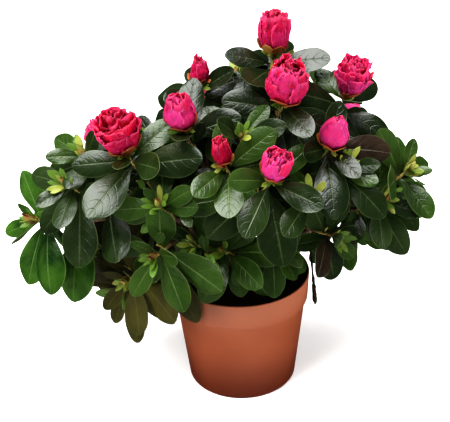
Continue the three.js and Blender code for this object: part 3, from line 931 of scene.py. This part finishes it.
# Side twigs
# Soft green twigs of this year, finer than the shoots that they leave, each with a few small leaves.
# They grow by the rule of the leaves, in what room is left, and close the crown from every side.
side_twig_shares_below_tip = (0.3, 0.55, 0.8)
side_twig_length = 15
side_twig_shares = (0.7, 1.3)
side_twig_pitch = 52
side_twig_droop = -0.3
side_twig_root_radius = 0.95
side_twig_tip_radius = 0.6
side_twig_relief = 0.00005
side_twig_leaves = 5
side_twig_age = 0.25
small_leaf_clear_of_tip = 0.6
small_leaf_step = 0.8
small_leaf_lengths = (13, 24)
small_leaf_pitches = (30, 75)
small_leaf_width = 0.42
small_leaf_droop = 0.3
side_twigs = []
spur_chance = np.random.default_rng(17)
for shoot in shoots:
    for share in side_twig_shares_below_tip:
        turn = shoot.phase + spur_chance.uniform(0, 360)
        reach = side_twig_length * spur_chance.uniform(*side_twig_shares)
        back = share * shoot.length
        twig = Leaf(shoot, back, turn, side_twig_pitch, reach, petiole_width, side_twig_droop)
        if leaf_is_blocked(twig) or leaves_meet(twig, grown_leaves, grown_middles, grown_lengths):
            continue
        spur = Shoot(shoot.mass, shoot.mass_name, shoot.place, (0, 0, reach), twig.at[0])
        spur.course = Course(twig.at[0], twig.middle, twig.at[-1])
        spur.number = shoot.number
        born = 0
        for k in range(side_twig_leaves):
            length = spur_chance.uniform(*small_leaf_lengths)
            pitch = spur_chance.uniform(*small_leaf_pitches)
            turn = spur_chance.uniform(0, 360)
            back = small_leaf_clear_of_tip + small_leaf_step * k
            width = small_leaf_width * length
            leaf = grow_free_leaf(spur, back, turn, pitch, length, width, small_leaf_droop)
            if leaf:
                leaf.age = side_twig_age
                born += 1
        if born:
            points = np.array([twig.at[0], *twig.at[2:]])
            radii = np.linspace(side_twig_root_radius, side_twig_tip_radius, len(points))
            side_twigs.append((points, radii))
limb_piece(
    "side_twigs", side_twigs, green_wood, foliage_nodes, side_twig_relief, sides=2
)


# Leaf blades
# Each leaf is a thin closed sheet, glossy above and paler below, widest past its middle. It is arched
# across, puckered between its side veins along a sunken midrib, and wavy at its margins. A spray of
# leaves takes one tint, most of them dark green, bronze on the drooping sprays at the low left.
def thin_sheets(name, grids, thickness, finishes, slot, nodes, tones, ups=None, acrosses=None):
    """One piece of many thin closed sheets. A grid holds rows of points in millimetres, and faces
    the side from which its columns run to the right as its rows run up. The first finish is on
    that face, and the second on the back and the rim. Each sheet has its own tone from 0 to 1, and
    ups and acrosses say where its rows and columns lie on it."""
    sheets, rows, columns, _ = grids.shape
    normals = np.cross(np.gradient(grids, axis=2), np.gradient(grids, axis=1))
    normals /= np.linalg.norm(normals, axis=3, keepdims=True) + 1e-12
    offset = normals * np.asarray(thickness).reshape(-1, 1, 1, 1) / 2
    places = np.stack([grids + offset, grids - offset], axis=1)
    index = np.arange(2 * rows * columns).reshape(2, rows, columns)
    front, back = index

    def strip(a, b, c, d):
        return np.stack([a.ravel(), b.ravel(), c.ravel(), d.ravel()], axis=1)

    quads = [
        strip(front[:-1, :-1], front[:-1, 1:], front[1:, 1:], front[1:, :-1]),
        strip(back[:-1, :-1], back[1:, :-1], back[1:, 1:], back[:-1, 1:]),
        strip(front[:-1, 0], front[1:, 0], back[1:, 0], back[:-1, 0]),
        strip(front[1:, -1], front[:-1, -1], back[:-1, -1], back[1:, -1]),
        strip(front[0, 1:], front[0, :-1], back[0, :-1], back[0, 1:]),
        strip(front[-1, :-1], front[-1, 1:], back[-1, 1:], back[-1, :-1]),
    ]
    one = np.concatenate(quads)
    faces = (one[None] + (np.arange(sheets) * index.size)[:, None, None]).reshape(-1, 4)
    mesh = bpy.data.meshes.new(name)
    mesh.from_pydata((places * mm).reshape(-1, 3).tolist(), [], faces.tolist())
    behind = np.tile(np.arange(len(one)) >= len(quads[0]), sheets)
    mesh.polygons.foreach_set("material_index", behind.astype(int))
    ups = np.linspace(0, 1, rows) if ups is None else ups
    acrosses = np.linspace(-1, 1, columns) if acrosses is None else acrosses
    up, right = np.meshgrid(ups, (acrosses + 1) / 2, indexing="ij")
    uv = np.tile(np.stack([right, up], axis=2).reshape(-1, 2), (2 * sheets, 1))
    mesh.uv_layers.new(name="UVMap").data.foreach_set("uv", uv[faces.ravel()].ravel())
    mesh.attributes.new("tone", "FLOAT", "POINT").data.foreach_set("value", np.repeat(tones, index.size))
    return place_piece(name, smooth(mesh, 55), nodes, finishes)


# Where a blade's rows and columns of points lie: closer together at its tip, midrib and margins
blade_ups = 1 - np.linspace(1, 0, 24) ** 1.5
blade_acrosses = np.array([-1, -0.9, -0.68, -0.42, -0.16, 0, 0.16, 0.42, 0.68, 0.9, 1])
small_ups = 1 - np.linspace(1, 0, 9) ** 1.4
small_acrosses = np.array([-1, -0.55, 0, 0.55, 1])
blade_thickness = 0.4
blade_widest_power = 1.4
blade_fullness_power = 0.55
stalk_half_width = 0.7
blunt_tip = 0.06
side_veins = 7
vein_slant = 0.26
midrib_half_width = 0.1
margin_waves = 1.6

# Arches as shares of a blade's half width, and puckers and ripples as shares of its length
arches = (0.02, 0.3)
young_curl = 0.4
puckers = (0.004, 0.011)
ripples = (0.008, 0.026)
blade_chance = np.random.default_rng(5)


def blade(leaf, ups=blade_ups, acrosses=blade_acrosses):
    """The points of a leaf's blade: arched, puckered between its veins, with wavy margins."""
    station = np.minimum((ups * leaf_stations).astype(int), leaf_stations - 1)
    t = (ups * leaf_stations - station)[:, None]
    step = leaf.length / leaf_stations
    start, end = leaf.at[station], leaf.at[station + 1]
    leave, arrive = leaf.along[station] * step, leaf.along[station + 1] * step
    spine = (
        (2 * t**3 - 3 * t**2 + 1) * start
        + (t**3 - 2 * t**2 + t) * leave
        + (3 * t**2 - 2 * t**3) * end
        + (t**3 - t**2) * arrive
    )
    side = (1 - t) * leaf.side[station] + t * leaf.side[station + 1]
    face = (1 - t) * leaf.face[station] + t * leaf.face[station + 1]
    along = ((ups - petiole_share) / (1 - petiole_share)).clip(0, 1)
    half = leaf.width / 2 * np.sin(np.pi * along**blade_widest_power).clip(0) ** blade_fullness_power
    half = np.where(ups < petiole_share, stalk_half_width, np.maximum(stalk_half_width, half))
    half[-1] = blunt_tip * leaf.width
    half = half[:, None]
    across = acrosses[None, :]
    up = ups[:, None]
    wide = half / (leaf.width / 2)
    arch = blade_chance.uniform(*arches) - young_curl * (1 - leaf.age) * blade_chance.random()
    pucker = leaf.length * blade_chance.uniform(*puckers)
    ripple = leaf.length * blade_chance.uniform(*ripples)
    swing = blade_chance.uniform(0, 2 * np.pi, 2)
    veins = np.abs(np.sin(np.pi * side_veins * (up - vein_slant * np.abs(across) ** 1.5)))
    height = pucker * wide * veins**0.8 * np.sin(np.pi * np.abs(across)) ** 0.8
    height = height - arch * half * across**2
    height = height - pucker * 0.9 * np.exp(-((across / midrib_half_width) ** 2)) * (1 - up)
    lobe = np.where(across < 0, swing[0], swing[1])
    height = height + ripple * wide * np.abs(across) ** 3 * np.sin(2 * np.pi * margin_waves * up + lobe)
    return spine[:, None] + side[:, None] * (half * across)[..., None] + face[:, None] * height[..., None]


def leaf_finish(name, shaded, light, rib_and_margin_glint, roughness=0.33, gloss=0.6):
    """The finish of a leaf's face: clouded, with a pale midrib and sunken side veins, and a pale margin,
    partly its own edge and partly a painted glint.
    """
    finish = Finish(name, Roughness=roughness, Specular_IOR_Level=gloss)
    tone = finish.tone()
    spot = finish.place()
    mottle = finish.noise(spot, 110, 4, 0.6)
    cloud = finish.noise(spot, 34, 2).step(0.36, 0.64)
    across, up = finish.sheet()
    lane = (up - across**1.5 * vein_slant) * side_veins
    vein = 1 - lane.maths("PINGPONG", lane, 0.5).step(0.0, 0.12)
    midrib = 1 - across.step(0.02, 0.07)
    # The pale margin is partly the leaf's own pale edge and partly a painted glint of light
    margin = across.step(0.93, 0.99) + up.step(0.985, 1)
    body = (mottle.step(0.3, 0.75) * 0.35 + cloud * 0.4 + tone * 0.25).blend(shaded, light)
    ribbed = (midrib * (0.7 - up * 0.5) + vein * 0.05).blend(body, rib_and_margin_glint)
    finish.feed("Base Color", (margin * 0.45).blend(ribbed, rib_and_margin_glint))
    finish.feed("Roughness", mottle * 0.2 + (roughness - 0.1))
    net = finish.start.node("TexVoronoi", {"feature": "DISTANCE_TO_EDGE"}, {"Vector": spot, "Scale": 380})
    relief = net.step(0, 0.3) * 0.2 + mottle * 0.5 - vein * (1 - across) * 0.6 - midrib * 1.1
    finish.bump(relief, 0.0005, 0.6)
    return finish


# Each tint's green in its dark and its light clouds, the colour of its midrib and of its margin, whose
# pale line is partly a painted glint, and then its roughness and gloss where they aren't a dark leaf's
tints = {
    "dark": ((0.006, 0.014, 0.003, 1), (0.02, 0.036, 0.009, 1), (0.09, 0.12, 0.045, 1)),
    # Painted shade: the next tint, for the topmost sprays, is a darker copy of the dark green
    "deep": ((0.003, 0.008, 0.002, 1), (0.012, 0.021, 0.006, 1), (0.07, 0.095, 0.038, 1), 0.31),
    "green": ((0.011, 0.029, 0.003, 1), (0.034, 0.066, 0.01, 1), (0.12, 0.17, 0.05, 1)),
    "fresh": ((0.003, 0.02, 0.002, 1), (0.042, 0.105, 0.006, 1), (0.11, 0.19, 0.045, 1), 0.36),
    "bronze": ((0.022, 0.022, 0.003, 1), (0.055, 0.05, 0.008, 1), (0.1, 0.1, 0.025, 1), 0.4),
    "plum": ((0.009, 0.007, 0.004, 1), (0.03, 0.018, 0.011, 1), (0.09, 0.08, 0.045, 1), 0.38, 0.5),
    "young": ((0.05, 0.11, 0.015, 1), (0.11, 0.2, 0.035, 1), (0.22, 0.3, 0.09, 1), 0.42),
}
back_tint = ((0.035, 0.055, 0.02, 1), (0.065, 0.09, 0.035, 1), (0.13, 0.16, 0.07, 1), 0.6, 0.25)
pale_back = leaf_finish("leaf_back", *back_tint)
leaf_finishes = {tint: leaf_finish(f"{tint}_leaf", *row) for tint, row in tints.items()}

# The sprays that aren't dark, each by its mass and its shoot's place
sprays = {
    "bronze": {("low_left", 0), ("low_left", 1), ("low_left", 2), ("low_back", 1)},
    "fresh": {("far_left", 2), ("back_right", 2)},
    "green": {
        ("low_front", 0), ("low_front", 1), ("low_front", 2), ("low_right", 0), ("low_right", 1),
        ("low_right", 2), ("front_left", 1), ("front_left", 2), ("far_right", 0), ("low_back", 0),
        ("low_back", 2), ("back_middle", 1), ("back_middle", 2), ("centre_front", 0),
    },
}
left_half = ("far_left", "front_left", "upper_left", "centre_front", "low_left", "low_front")
right_half = ("crown", "upper_right", "front_right", "far_right", "low_right")
topmost = ("crown", "upper_left", "upper_right", "back_crown")

# At a whorl's heart, and on the side twigs, some leaves are young or green, and a few on the right plum
heart_age = 0.1
young_chance = 0.3
small_young_chance = 0.15
inner_age = 0.4
green_chance = 0.4
plum_chance = 0.14
leaf_groups = {}
spray_chance = np.random.default_rng(8)
for leaf in grown_leaves:
    small = leaf.age == side_twig_age
    spray = (leaf.shoot.mass_name, leaf.shoot.place)
    tint = next((name for name, members in sprays.items() if spray in members), "dark")
    chance_of_young = young_chance if leaf.age < heart_age else small_young_chance if small else 0
    if spray_chance.random() < chance_of_young:
        tint = "young"
    elif leaf.age < inner_age and tint == "dark" and spray_chance.random() < green_chance:
        tint = "green"
    side = "left" if spray[0] in left_half else "right" if spray[0] in right_half else "back"
    if tint == "dark" and side == "right" and spray[0] != "crown" and spray_chance.random() < plum_chance:
        tint = "plum"
    # Painted shade: dark leaves on the topmost sprays take that darker copy of their green
    elif tint == "dark" and spray[0] in topmost:
        tint = "deep"
    part = "small" if small else side if tint in ("dark", "green", "deep") else "all"
    leaf_groups.setdefault((tint, part), []).append(leaf)
for (tint, part), leaves in leaf_groups.items():
    ups, acrosses = (small_ups, small_acrosses) if part == "small" else (blade_ups, blade_acrosses)
    thin_sheets(
        f"{tint}_leaves_{part}",
        np.array([blade(leaf, ups, acrosses) for leaf in leaves]),
        blade_thickness,
        [leaf_finishes[tint], pale_back],
        "young_foliage" if tint == "young" else "foliage",
        foliage_nodes,
        spray_chance.random(len(leaves)),
        ups,
        acrosses,
    )


# Shoot tips
# Every shoot ends in a star of small pointed yellow-green bracts, round a plump bud in overlapping
# scales where it bears no bloom. Beside a bloom sit one or two smaller buds that are yet to open.
skew = np.array([0.93, 0.2, 0.31])


def cup(
    base, axis, turn, length, half, profile, width, corner, ruffle, chance, flare=0, bend=0, grid=(10, 7)
):
    """A petal or scale: a piece of the wall of a cup on an axis, facing out. The profile gives the
    cup's radius at equal steps up as shares of half, width is the half angle in degrees, corner
    rounds the top, ruffle says how far its margin waves, flare how far it turns out, and bend by what
    share it leans in over the middle. The grid is its count of rows and columns of points. Turns are
    counted from a side that is square to a skew line, along which no axis here runs."""
    right = unit(np.cross(axis, skew))
    other = np.cross(axis, right)
    up, across = np.meshgrid(np.linspace(0, 1, grid[0]) ** 0.9, np.linspace(-1, 1, grid[1]), indexing="ij")
    rise = up * (1 - corner * np.abs(across) ** 2.6 * up)
    phase = chance.uniform(0, 2 * np.pi, 4)
    wave = np.sin(chance.uniform(2.5, 4.5) * across + phase[0]) + 0.5 * np.sin(8 * across + phase[1])
    frill = np.sin(12.5 * across + phase[2])
    radius = half * np.interp(rise, np.linspace(0, 1, len(profile)), profile) * (1 - bend * up**2.5)
    radius = radius + ruffle * (up**2.2 * wave + 0.2 * up**6 * frill) + flare * up**5
    lift = length * rise + ruffle * up**3 * (0.5 * np.sin(6 * across + phase[3]) + 0.2 * frill)
    lift = lift - 0.4 * flare * up**7
    spread = np.interp(rise, [0, 0.35, 0.7, 1], [0.55, 0.9, 1, 0.9])
    angle = math.radians(turn) + across * math.radians(width) * spread
    ring = np.cos(angle)[..., None] * right + np.sin(angle)[..., None] * other
    return base + axis * lift[..., None] + np.maximum(radius, 0.1)[..., None] * ring


tip_upturn = 0.5
bud_outline = [0.6, 1, 1.08, 0.92, 0.6, 0.1]
bud_scale_count = 5
bud_turn_play = 8
bud_fit = 1.3
shorter_inwards = 0.09
closer_inwards = 0.08
bud_scale_angle = 66
bud_scale_corner = 0.35
bud_scale_ruffle = 0.08
bud_scale_grid = (8, 5)
scale_thickness = 0.3
side_bud_lean = 0.8
side_bud_offset = 2
side_bud_lengths = (6, 9)
side_bud_radii = (1.3, 1.8)
tip_bud_lengths = (7.5, 12)
tip_bud_radii = (1.7, 2.5)
fewest_bracts = 7
most_bracts = 10
bract_age = 0.2
bract_droop = 0.2
bract_turn_play = 18
bract_backs = (0.3, 3.5)
bract_widths = (0.22, 0.34)

# Length and radius of the plumper buds at the outermost tips, and where they stand
plump_bud = (15, 3)
outermost_tips = {("far_right", 0), ("far_left", 2)}

# Shortest and longest, and steepest and flattest, of the bracts by a bloom and of those by a bud
bloom_bracts = ((7, 12), (48, 80))
bud_bracts = ((11, 20), (15, 58))
bract_ups = np.linspace(0, 1, 8) ** 0.9
bract_acrosses = np.array([-1, -0.5, 0, 0.5, 1])
tip_chance = np.random.default_rng(21)
scales = []
bracts = []


def bud(base, axis, length, fat):
    """A bud's scales, wrapped round one another up to its point."""
    for k in range(bud_scale_count):
        turn = golden_angle * k + tip_chance.uniform(-bud_turn_play, bud_turn_play)
        tall = length * (1 - shorter_inwards * k)
        wide = fat * (bud_fit - closer_inwards * k)
        scale = cup(
            base, axis, turn, tall, wide, bud_outline, bud_scale_angle, bud_scale_corner,
            bud_scale_ruffle, tip_chance, grid=bud_scale_grid,
        )
        scales.append(scale)


for shoot in shoots:
    axis = unit(shoot.course.tangent(1) + upwards * tip_upturn)
    if shoot.bloom:
        _, base, lean = shoot.bloom
        across_axis = unit(np.cross(lean, tip_chance.normal(size=3)))
        for sway in (1, -1)[: tip_chance.integers(1, 3)]:
            stem_turn = unit(lean * side_bud_lean + across_axis * sway)
            root = base - lean * side_bud_offset + stem_turn * side_bud_offset
            tall, fat = tip_chance.uniform(*side_bud_lengths), tip_chance.uniform(*side_bud_radii)
            bud(root, stem_turn, tall, fat)
    else:
        tall, fat = tip_chance.uniform(*tip_bud_lengths), tip_chance.uniform(*tip_bud_radii)
        if (shoot.mass_name, shoot.place) in outermost_tips:
            tall, fat = plump_bud
        bud(shoot.tip - axis, axis, tall, fat)
    count = tip_chance.integers(fewest_bracts, most_bracts + 1)
    lengths, pitches = bloom_bracts if shoot.bloom else bud_bracts
    for k in range(count):
        length = tip_chance.uniform(*lengths)
        pitch = tip_chance.uniform(*pitches)
        turn = 360 * k / count + tip_chance.uniform(-bract_turn_play, bract_turn_play)
        back = tip_chance.uniform(*bract_backs)
        width = length * tip_chance.uniform(*bract_widths)
        bract = Leaf(shoot, back, turn, pitch, length, width, bract_droop)
        bract.age = bract_age
        bracts.append(blade(bract, bract_ups, bract_acrosses))


def bud_finish(name, green, brown, turning):
    """The finish of bud scales and bracts: green ones among ones that turn orange-brown."""
    finish = Finish(name, Roughness=0.48, Specular_IOR_Level=0.4)
    tone = finish.tone()
    fleck = finish.noise(finish.place(), 500, 3)
    across, up = finish.sheet()
    mix = (tone * 0.8 + fleck * 0.35 + up * 0.12).step(turning, turning + 0.4)
    finish.feed("Base Color", mix.blend(green, brown))
    finish.feed("Roughness", fleck * 0.25 + 0.36)
    finish.bump(fleck - across * 0.5, 0.0003, 0.6)
    return finish


bud_scale = bud_finish("bud_scale", (0.24, 0.23, 0.06, 1), (0.22, 0.1, 0.035, 1), 0.5)
bract_green = bud_finish("bract", (0.22, 0.24, 0.05, 1), (0.08, 0.14, 0.02, 1), 0.3)
thin_sheets("buds", np.array(scales), scale_thickness, [bud_scale, bud_scale], "bud_scales",
            foliage_nodes, tip_chance.random(len(scales)))
thin_sheets("bracts", np.array(bracts), scale_thickness, [bract_green, bract_green], "young_foliage",
            foliage_nodes, tip_chance.random(len(bracts)), bract_ups, bract_acrosses)


# Blooms
# Double flowers between hot pink and crimson: broad outer petals round crowded ones with ruffled
# margins, in a few papery brown bud scales on the tip of a shoot. They open to different degrees.

# How pink a kind is, its outline as shares of its half width at equal steps up, and its rows of
# petals from the outside in: how many, their reach and rise as shares of the bloom's, the half
# angle in degrees that each covers, how far its margin waves and turns out, and how far it bends in
bloom_shapes = {
    "open": (
        0.4,
        [0.1, 0.36, 0.56, 0.7, 0.8, 0.88, 0.94, 1],
        [
            (4, 0.88, 0.66, 50, 1.2, 0.8, 0), (5, 0.88, 0.96, 54, 1.5, 1.2, 0),
            (5, 0.78, 1.06, 52, 1.8, 1, 0.08), (5, 0.62, 1.1, 54, 1.8, 0.6, 0.22),
            (4, 0.44, 1.14, 60, 1.6, 0.2, 0.36), (4, 0.26, 1.14, 66, 1.3, 0, 0.5),
        ],
    ),
    "ruffled": (
        0.45,
        [0.1, 0.55, 0.8, 0.92, 1, 1, 0.96, 0.88],
        [
            (3, 1, 0.72, 60, 1.3, 0.4, 0), (4, 0.98, 1, 58, 1.8, 0.4, 0.14),
            (5, 0.86, 1.08, 54, 1.8, 0.6, 0.26), (4, 0.66, 1.12, 60, 1.5, 0.2, 0.45),
            (4, 0.42, 1.14, 66, 1.2, 0, 0.6),
        ],
    ),
    "barrel": (
        0.32,
        [0.1, 0.55, 0.8, 0.93, 1, 1, 0.95, 0.86],
        [
            (4, 0.96, 0.9, 62, 0.9, 0.4, 0), (4, 0.92, 1.04, 60, 1.2, 1, 0.1),
            (4, 0.76, 1.08, 58, 1.4, 1.2, 0.24), (4, 0.5, 1.1, 60, 1.3, 0.3, 0.45),
        ],
    ),
    "goblet": (
        0.55,
        [0.1, 0.36, 0.54, 0.68, 0.79, 0.88, 0.95, 1],
        [
            (4, 0.94, 0.7, 50, 1, 0.6, 0), (5, 0.92, 1, 56, 1.3, 0.9, 0.06),
            (5, 0.78, 1.08, 54, 1.5, 0.8, 0.2), (4, 0.58, 1.12, 60, 1.5, 0.4, 0.36),
            (4, 0.36, 1.14, 62, 1.3, 0, 0.55),
        ],
    ),
    "squarish": (
        0.7,
        [0.1, 0.46, 0.72, 0.87, 0.95, 1, 0.97, 0.84],
        [
            (4, 1, 1, 62, 0.8, 0.3, 0.06), (4, 0.9, 1.08, 60, 1, 0.3, 0.22),
            (4, 0.7, 1.1, 62, 1, 0.2, 0.42), (4, 0.44, 1.12, 66, 0.9, 0, 0.55),
        ],
    ),
    "half_open": (
        0.62,
        [0.1, 0.56, 0.8, 0.94, 1, 0.96, 0.86, 0.7],
        [
            (4, 1, 1, 68, 0.5, 0.1, 0.08), (4, 0.88, 1.08, 64, 0.9, 0.4, 0.2),
            (4, 0.62, 1.12, 64, 1.1, 0.3, 0.4), (3, 0.36, 1.14, 70, 1, 0, 0.55),
        ],
    ),
    "closed": (
        0.76,
        [0.1, 0.62, 0.86, 0.97, 0.97, 0.86, 0.64, 0.34],
        [
            (4, 1, 0.96, 72, 0.25, 0, 0), (4, 0.88, 1.04, 66, 0.5, 0, 0.1),
            (3, 0.5, 1.12, 70, 0.6, 0, 0.3),
        ],
    ),
    "slim": (
        0.1,
        [0.1, 0.6, 0.86, 0.98, 0.98, 0.88, 0.74, 0.55],
        [
            (3, 1, 0.9, 74, 0.6, 0.5, 0), (4, 0.84, 1.02, 58, 0.9, 0.9, 0.1),
            (3, 0.5, 1.12, 66, 0.8, 0.3, 0.2),
        ],
    ),
}
outer_rows = 2
petal_turn_play = 9
petal_heights = (0.84, 1.08)
petal_widths = (0.94, 1.02)
petal_flares = (0.2, 1.5)
petal_tone_play = 0.3
petal_stagger = 0.04
deeper_inwards = 0.06
fold_depth = 0.8
fold_depth_of_ruffle = 0.9
petal_corner = 0.08
petal_grid = (16, 15)
petal_thickness = 0.35
husk_scale_count = 6
husk_scale_angle = 36
husk_corner = 0.5
husk_ruffle = 0.4
husk_fit = 1.1
husk_drop = 0.8
husk_turn_play = 10
husk_covers = (0.24, 0.5)
husk_flares = (0, 2.2)
petal_chance = np.random.default_rng(33)

# The folds follow a noise whose own seed is set here, so that they fall alike on every run
noise.seed_set(33)
petals = {"outer_petals": [], "inner_petals": []}
petal_tones = {"outer_petals": [], "inner_petals": []}
papery = []


def crumple(grid, depth, chance):
    """A petal's points moved by folds, which run up it and grow from its root to its margin."""
    drift = Vector(chance.uniform(-40, 40, 3))
    upright = Vector((0.42, 0.42, 0.14))
    folds = []
    for point in grid.reshape(-1, 3):
        broad = noise.noise_vector(Vector(point) * upright + drift)
        fine = noise.noise_vector(Vector(point) * 0.5 + drift)
        folds.append(broad + fine * 0.5)
    growth = np.linspace(0.45, 1, len(grid))[:, None, None]
    return grid + depth * growth * np.array(folds).reshape(grid.shape)


for shoot in shoots:
    if not shoot.bloom:
        continue
    kind, base, axis = shoot.bloom
    length, width = bloom_kinds[kind]
    pinkness, outline, rows = bloom_shapes[kind]
    start = petal_chance.uniform(0, 360)
    for row, (count, reach, rise, half_angle, ruffle, flare, bend) in enumerate(rows):
        group = "inner_petals" if row >= outer_rows else "outer_petals"
        for k in range(count):
            turn = start + k * 360 / count + petal_chance.uniform(-petal_turn_play, petal_turn_play)
            tall = length * rise * petal_chance.uniform(*petal_heights)
            wide = width / 2 * (reach - petal_stagger * (k % 2)) * petal_chance.uniform(*petal_widths)
            turned = flare * petal_chance.uniform(*petal_flares)
            sheet = cup(
                base, axis, turn, tall, wide, outline, half_angle, petal_corner, ruffle, petal_chance,
                turned, bend, petal_grid,
            )
            petals[group].append(crumple(sheet, fold_depth + fold_depth_of_ruffle * ruffle, petal_chance))
            tone = pinkness + petal_chance.uniform(-petal_tone_play, petal_tone_play)
            tone = tone - deeper_inwards * row
            petal_tones[group].append(np.clip(tone, 0, 1))
        start += golden_angle
    for k in range(husk_scale_count):
        turn = golden_angle * k + petal_chance.uniform(-husk_turn_play, husk_turn_play)
        cover = petal_chance.uniform(*husk_covers)
        clasp = np.interp(np.linspace(0, cover, 6), np.linspace(0, 1, len(outline)), outline)
        turned = petal_chance.uniform(*husk_flares)
        scale = cup(
            base - axis * husk_drop, axis, turn, length * cover, width / 2 * husk_fit, clasp,
            husk_scale_angle, husk_corner, husk_ruffle, petal_chance, turned,
        )
        papery.append(scale)


def petal_finish(name, crimson, pink, edge, depth):
    """The finish of a petal: velvety, deeper towards its root, with faint veins and a light edge."""
    finish = Finish(
        name,
        Roughness=0.55,
        Specular_IOR_Level=0.18,
        Subsurface_Weight=0.6,
        Subsurface_Radius=(1, 0.25, 0.3),
        Subsurface_Scale=0.003,
    )
    flat = finish.place("UV")
    tone = finish.tone()
    stretched = flat.node("Mapping", {}, {0: flat, "Scale": (9, 1.2, 1)})
    veins = finish.noise(stretched, 3, 3)
    cloud = finish.noise(finish.place(), 160, 3)
    across, up = finish.sheet()
    shade = tone * 0.85 + veins * 0.35 + cloud * 0.5 - 0.36
    body = shade.step(0, 1).blend(crimson, pink)
    rooted = ((1 - up.step(0.0, 0.5)) * depth).blend(body, crimson)
    margin = up.step(0.86, 1.0) + across.step(0.88, 1)
    finish.feed("Base Color", (margin * 0.28).blend(rooted, edge))
    finish.bump(veins * 1.4 + cloud, 0.001, 0.8)
    return finish


petal_outside = petal_finish(
    "petal_outside", (0.3, 0.003, 0.03, 1), (0.44, 0.034, 0.16, 1), (0.66, 0.15, 0.27, 1), 0.3
)
petal_inside = petal_finish(
    "petal_inside", (0.42, 0.004, 0.035, 1), (0.54, 0.025, 0.15, 1), (0.64, 0.09, 0.21, 1), 0.5
)
husk = bud_finish("husk", (0.3, 0.21, 0.055, 1), (0.28, 0.085, 0.028, 1), 0.15)
for name, grids in petals.items():
    thin_sheets(name, np.array(grids), petal_thickness, [petal_outside, petal_inside], "petals",
                foliage_nodes, np.array(petal_tones[name]))
thin_sheets("bloom_scales", np.array(papery), scale_thickness, [husk, husk], "bud_scales",
            foliage_nodes, petal_chance.random(len(papery)))


# Withered twig
# A dead shoot, thin and nearly black, that hangs over the rim of the pot and ends in the shrivelled
# rest of its bud.
withered_rings = 60
withered_relief = 0.0004

# The twig's radius at places along it, with knots and the bud's rest near its end
knot_places = [0, 0.7, 0.74, 0.8, 0.84, 0.9, 0.96, 1]
knot_radii = [0.9, 0.6, 1.1, 0.9, 1.7, 1.5, 1.9, 0.5]
dry = Finish("dry_twig", Roughness=0.9, Specular_IOR_Level=0.2)
crust = dry.noise(dry.place(), 600, 3)
dry.feed("Base Color", crust.step(0.4, 0.7).blend((0.012, 0.008, 0.006, 1), (0.05, 0.03, 0.02, 1)))
dry.bump(crust, 0.0005)
points, _ = stretch_of(withered_course, 0, 1, withered_rings, 1, 1)
radii = np.interp(np.linspace(0, 1, withered_rings), knot_places, knot_radii)
limb_piece(
    "withered_twig", [(points, radii)], dry, ["low_right_foliage"], withered_relief, sides=6
)


# Floor and light
# A plain pale floor under soft studio light: a lamp in front, up on the left, a broad one overhead
# that alone puts the sheen on the leaves, and a low one on each side.
floor_radius = 6
sky_strength = 0.03
sweep = bmesh.new()
bmesh.ops.create_circle(sweep, cap_ends=True, segments=96, radius=floor_radius)
floor_mesh = mesh_of("floor", sweep)
paper = Finish(
    "paper",
    Base_Color=(0.9, 0.9, 0.9, 1),
    Roughness=0.9,
    Specular_IOR_Level=0.2,
    Emission_Color=(1, 1, 1, 1),
    Emission_Strength=0.25,
)
floor_mesh.materials.append(paper.material)
floor = bpy.data.objects.new("floor", floor_mesh)
bpy.context.collection.objects.link(floor)
floor.visible_glossy = False

world = bpy.data.worlds.new("studio")
world.use_nodes = True
background = world.node_tree.nodes["Background"]
background.inputs["Color"].default_value = (1, 1, 1, 1)
background.inputs["Strength"].default_value = sky_strength
bpy.context.scene.world = world
bpy.context.scene.view_settings.view_transform = "Standard"
bpy.context.scene.view_settings.look = "High Contrast"

# Each lamp's place, the width of its square and its watts
plant_middle = Vector((-0.01, 0, 0.18))
lamps = {
    "key_lamp": ((-0.85, -1.0, 1.2), 0.6, 13.5),
    "top_lamp": ((-0.15, -0.15, 1.5), 1.4, 47),
    "left_lamp": ((-1.2, -0.4, 0.4), 0.8, 12),
    "right_lamp": ((1.2, -0.5, 0.4), 0.8, 16),
}
for lamp_name, (lamp_place, lamp_size, watts) in lamps.items():
    lamp = bpy.data.lights.new(lamp_name, "AREA")
    lamp.size = lamp_size
    lamp.energy = watts
    lamp_object = bpy.data.objects.new(lamp_name, lamp)
    lamp_object.location = lamp_place
    lamp_object.visible_glossy = lamp_name == "top_lamp"
    lamp_object.rotation_euler = (plant_middle - Vector(lamp_place)).to_track_quat("-Z", "Y").to_euler()
    bpy.context.collection.objects.link(lamp_object)
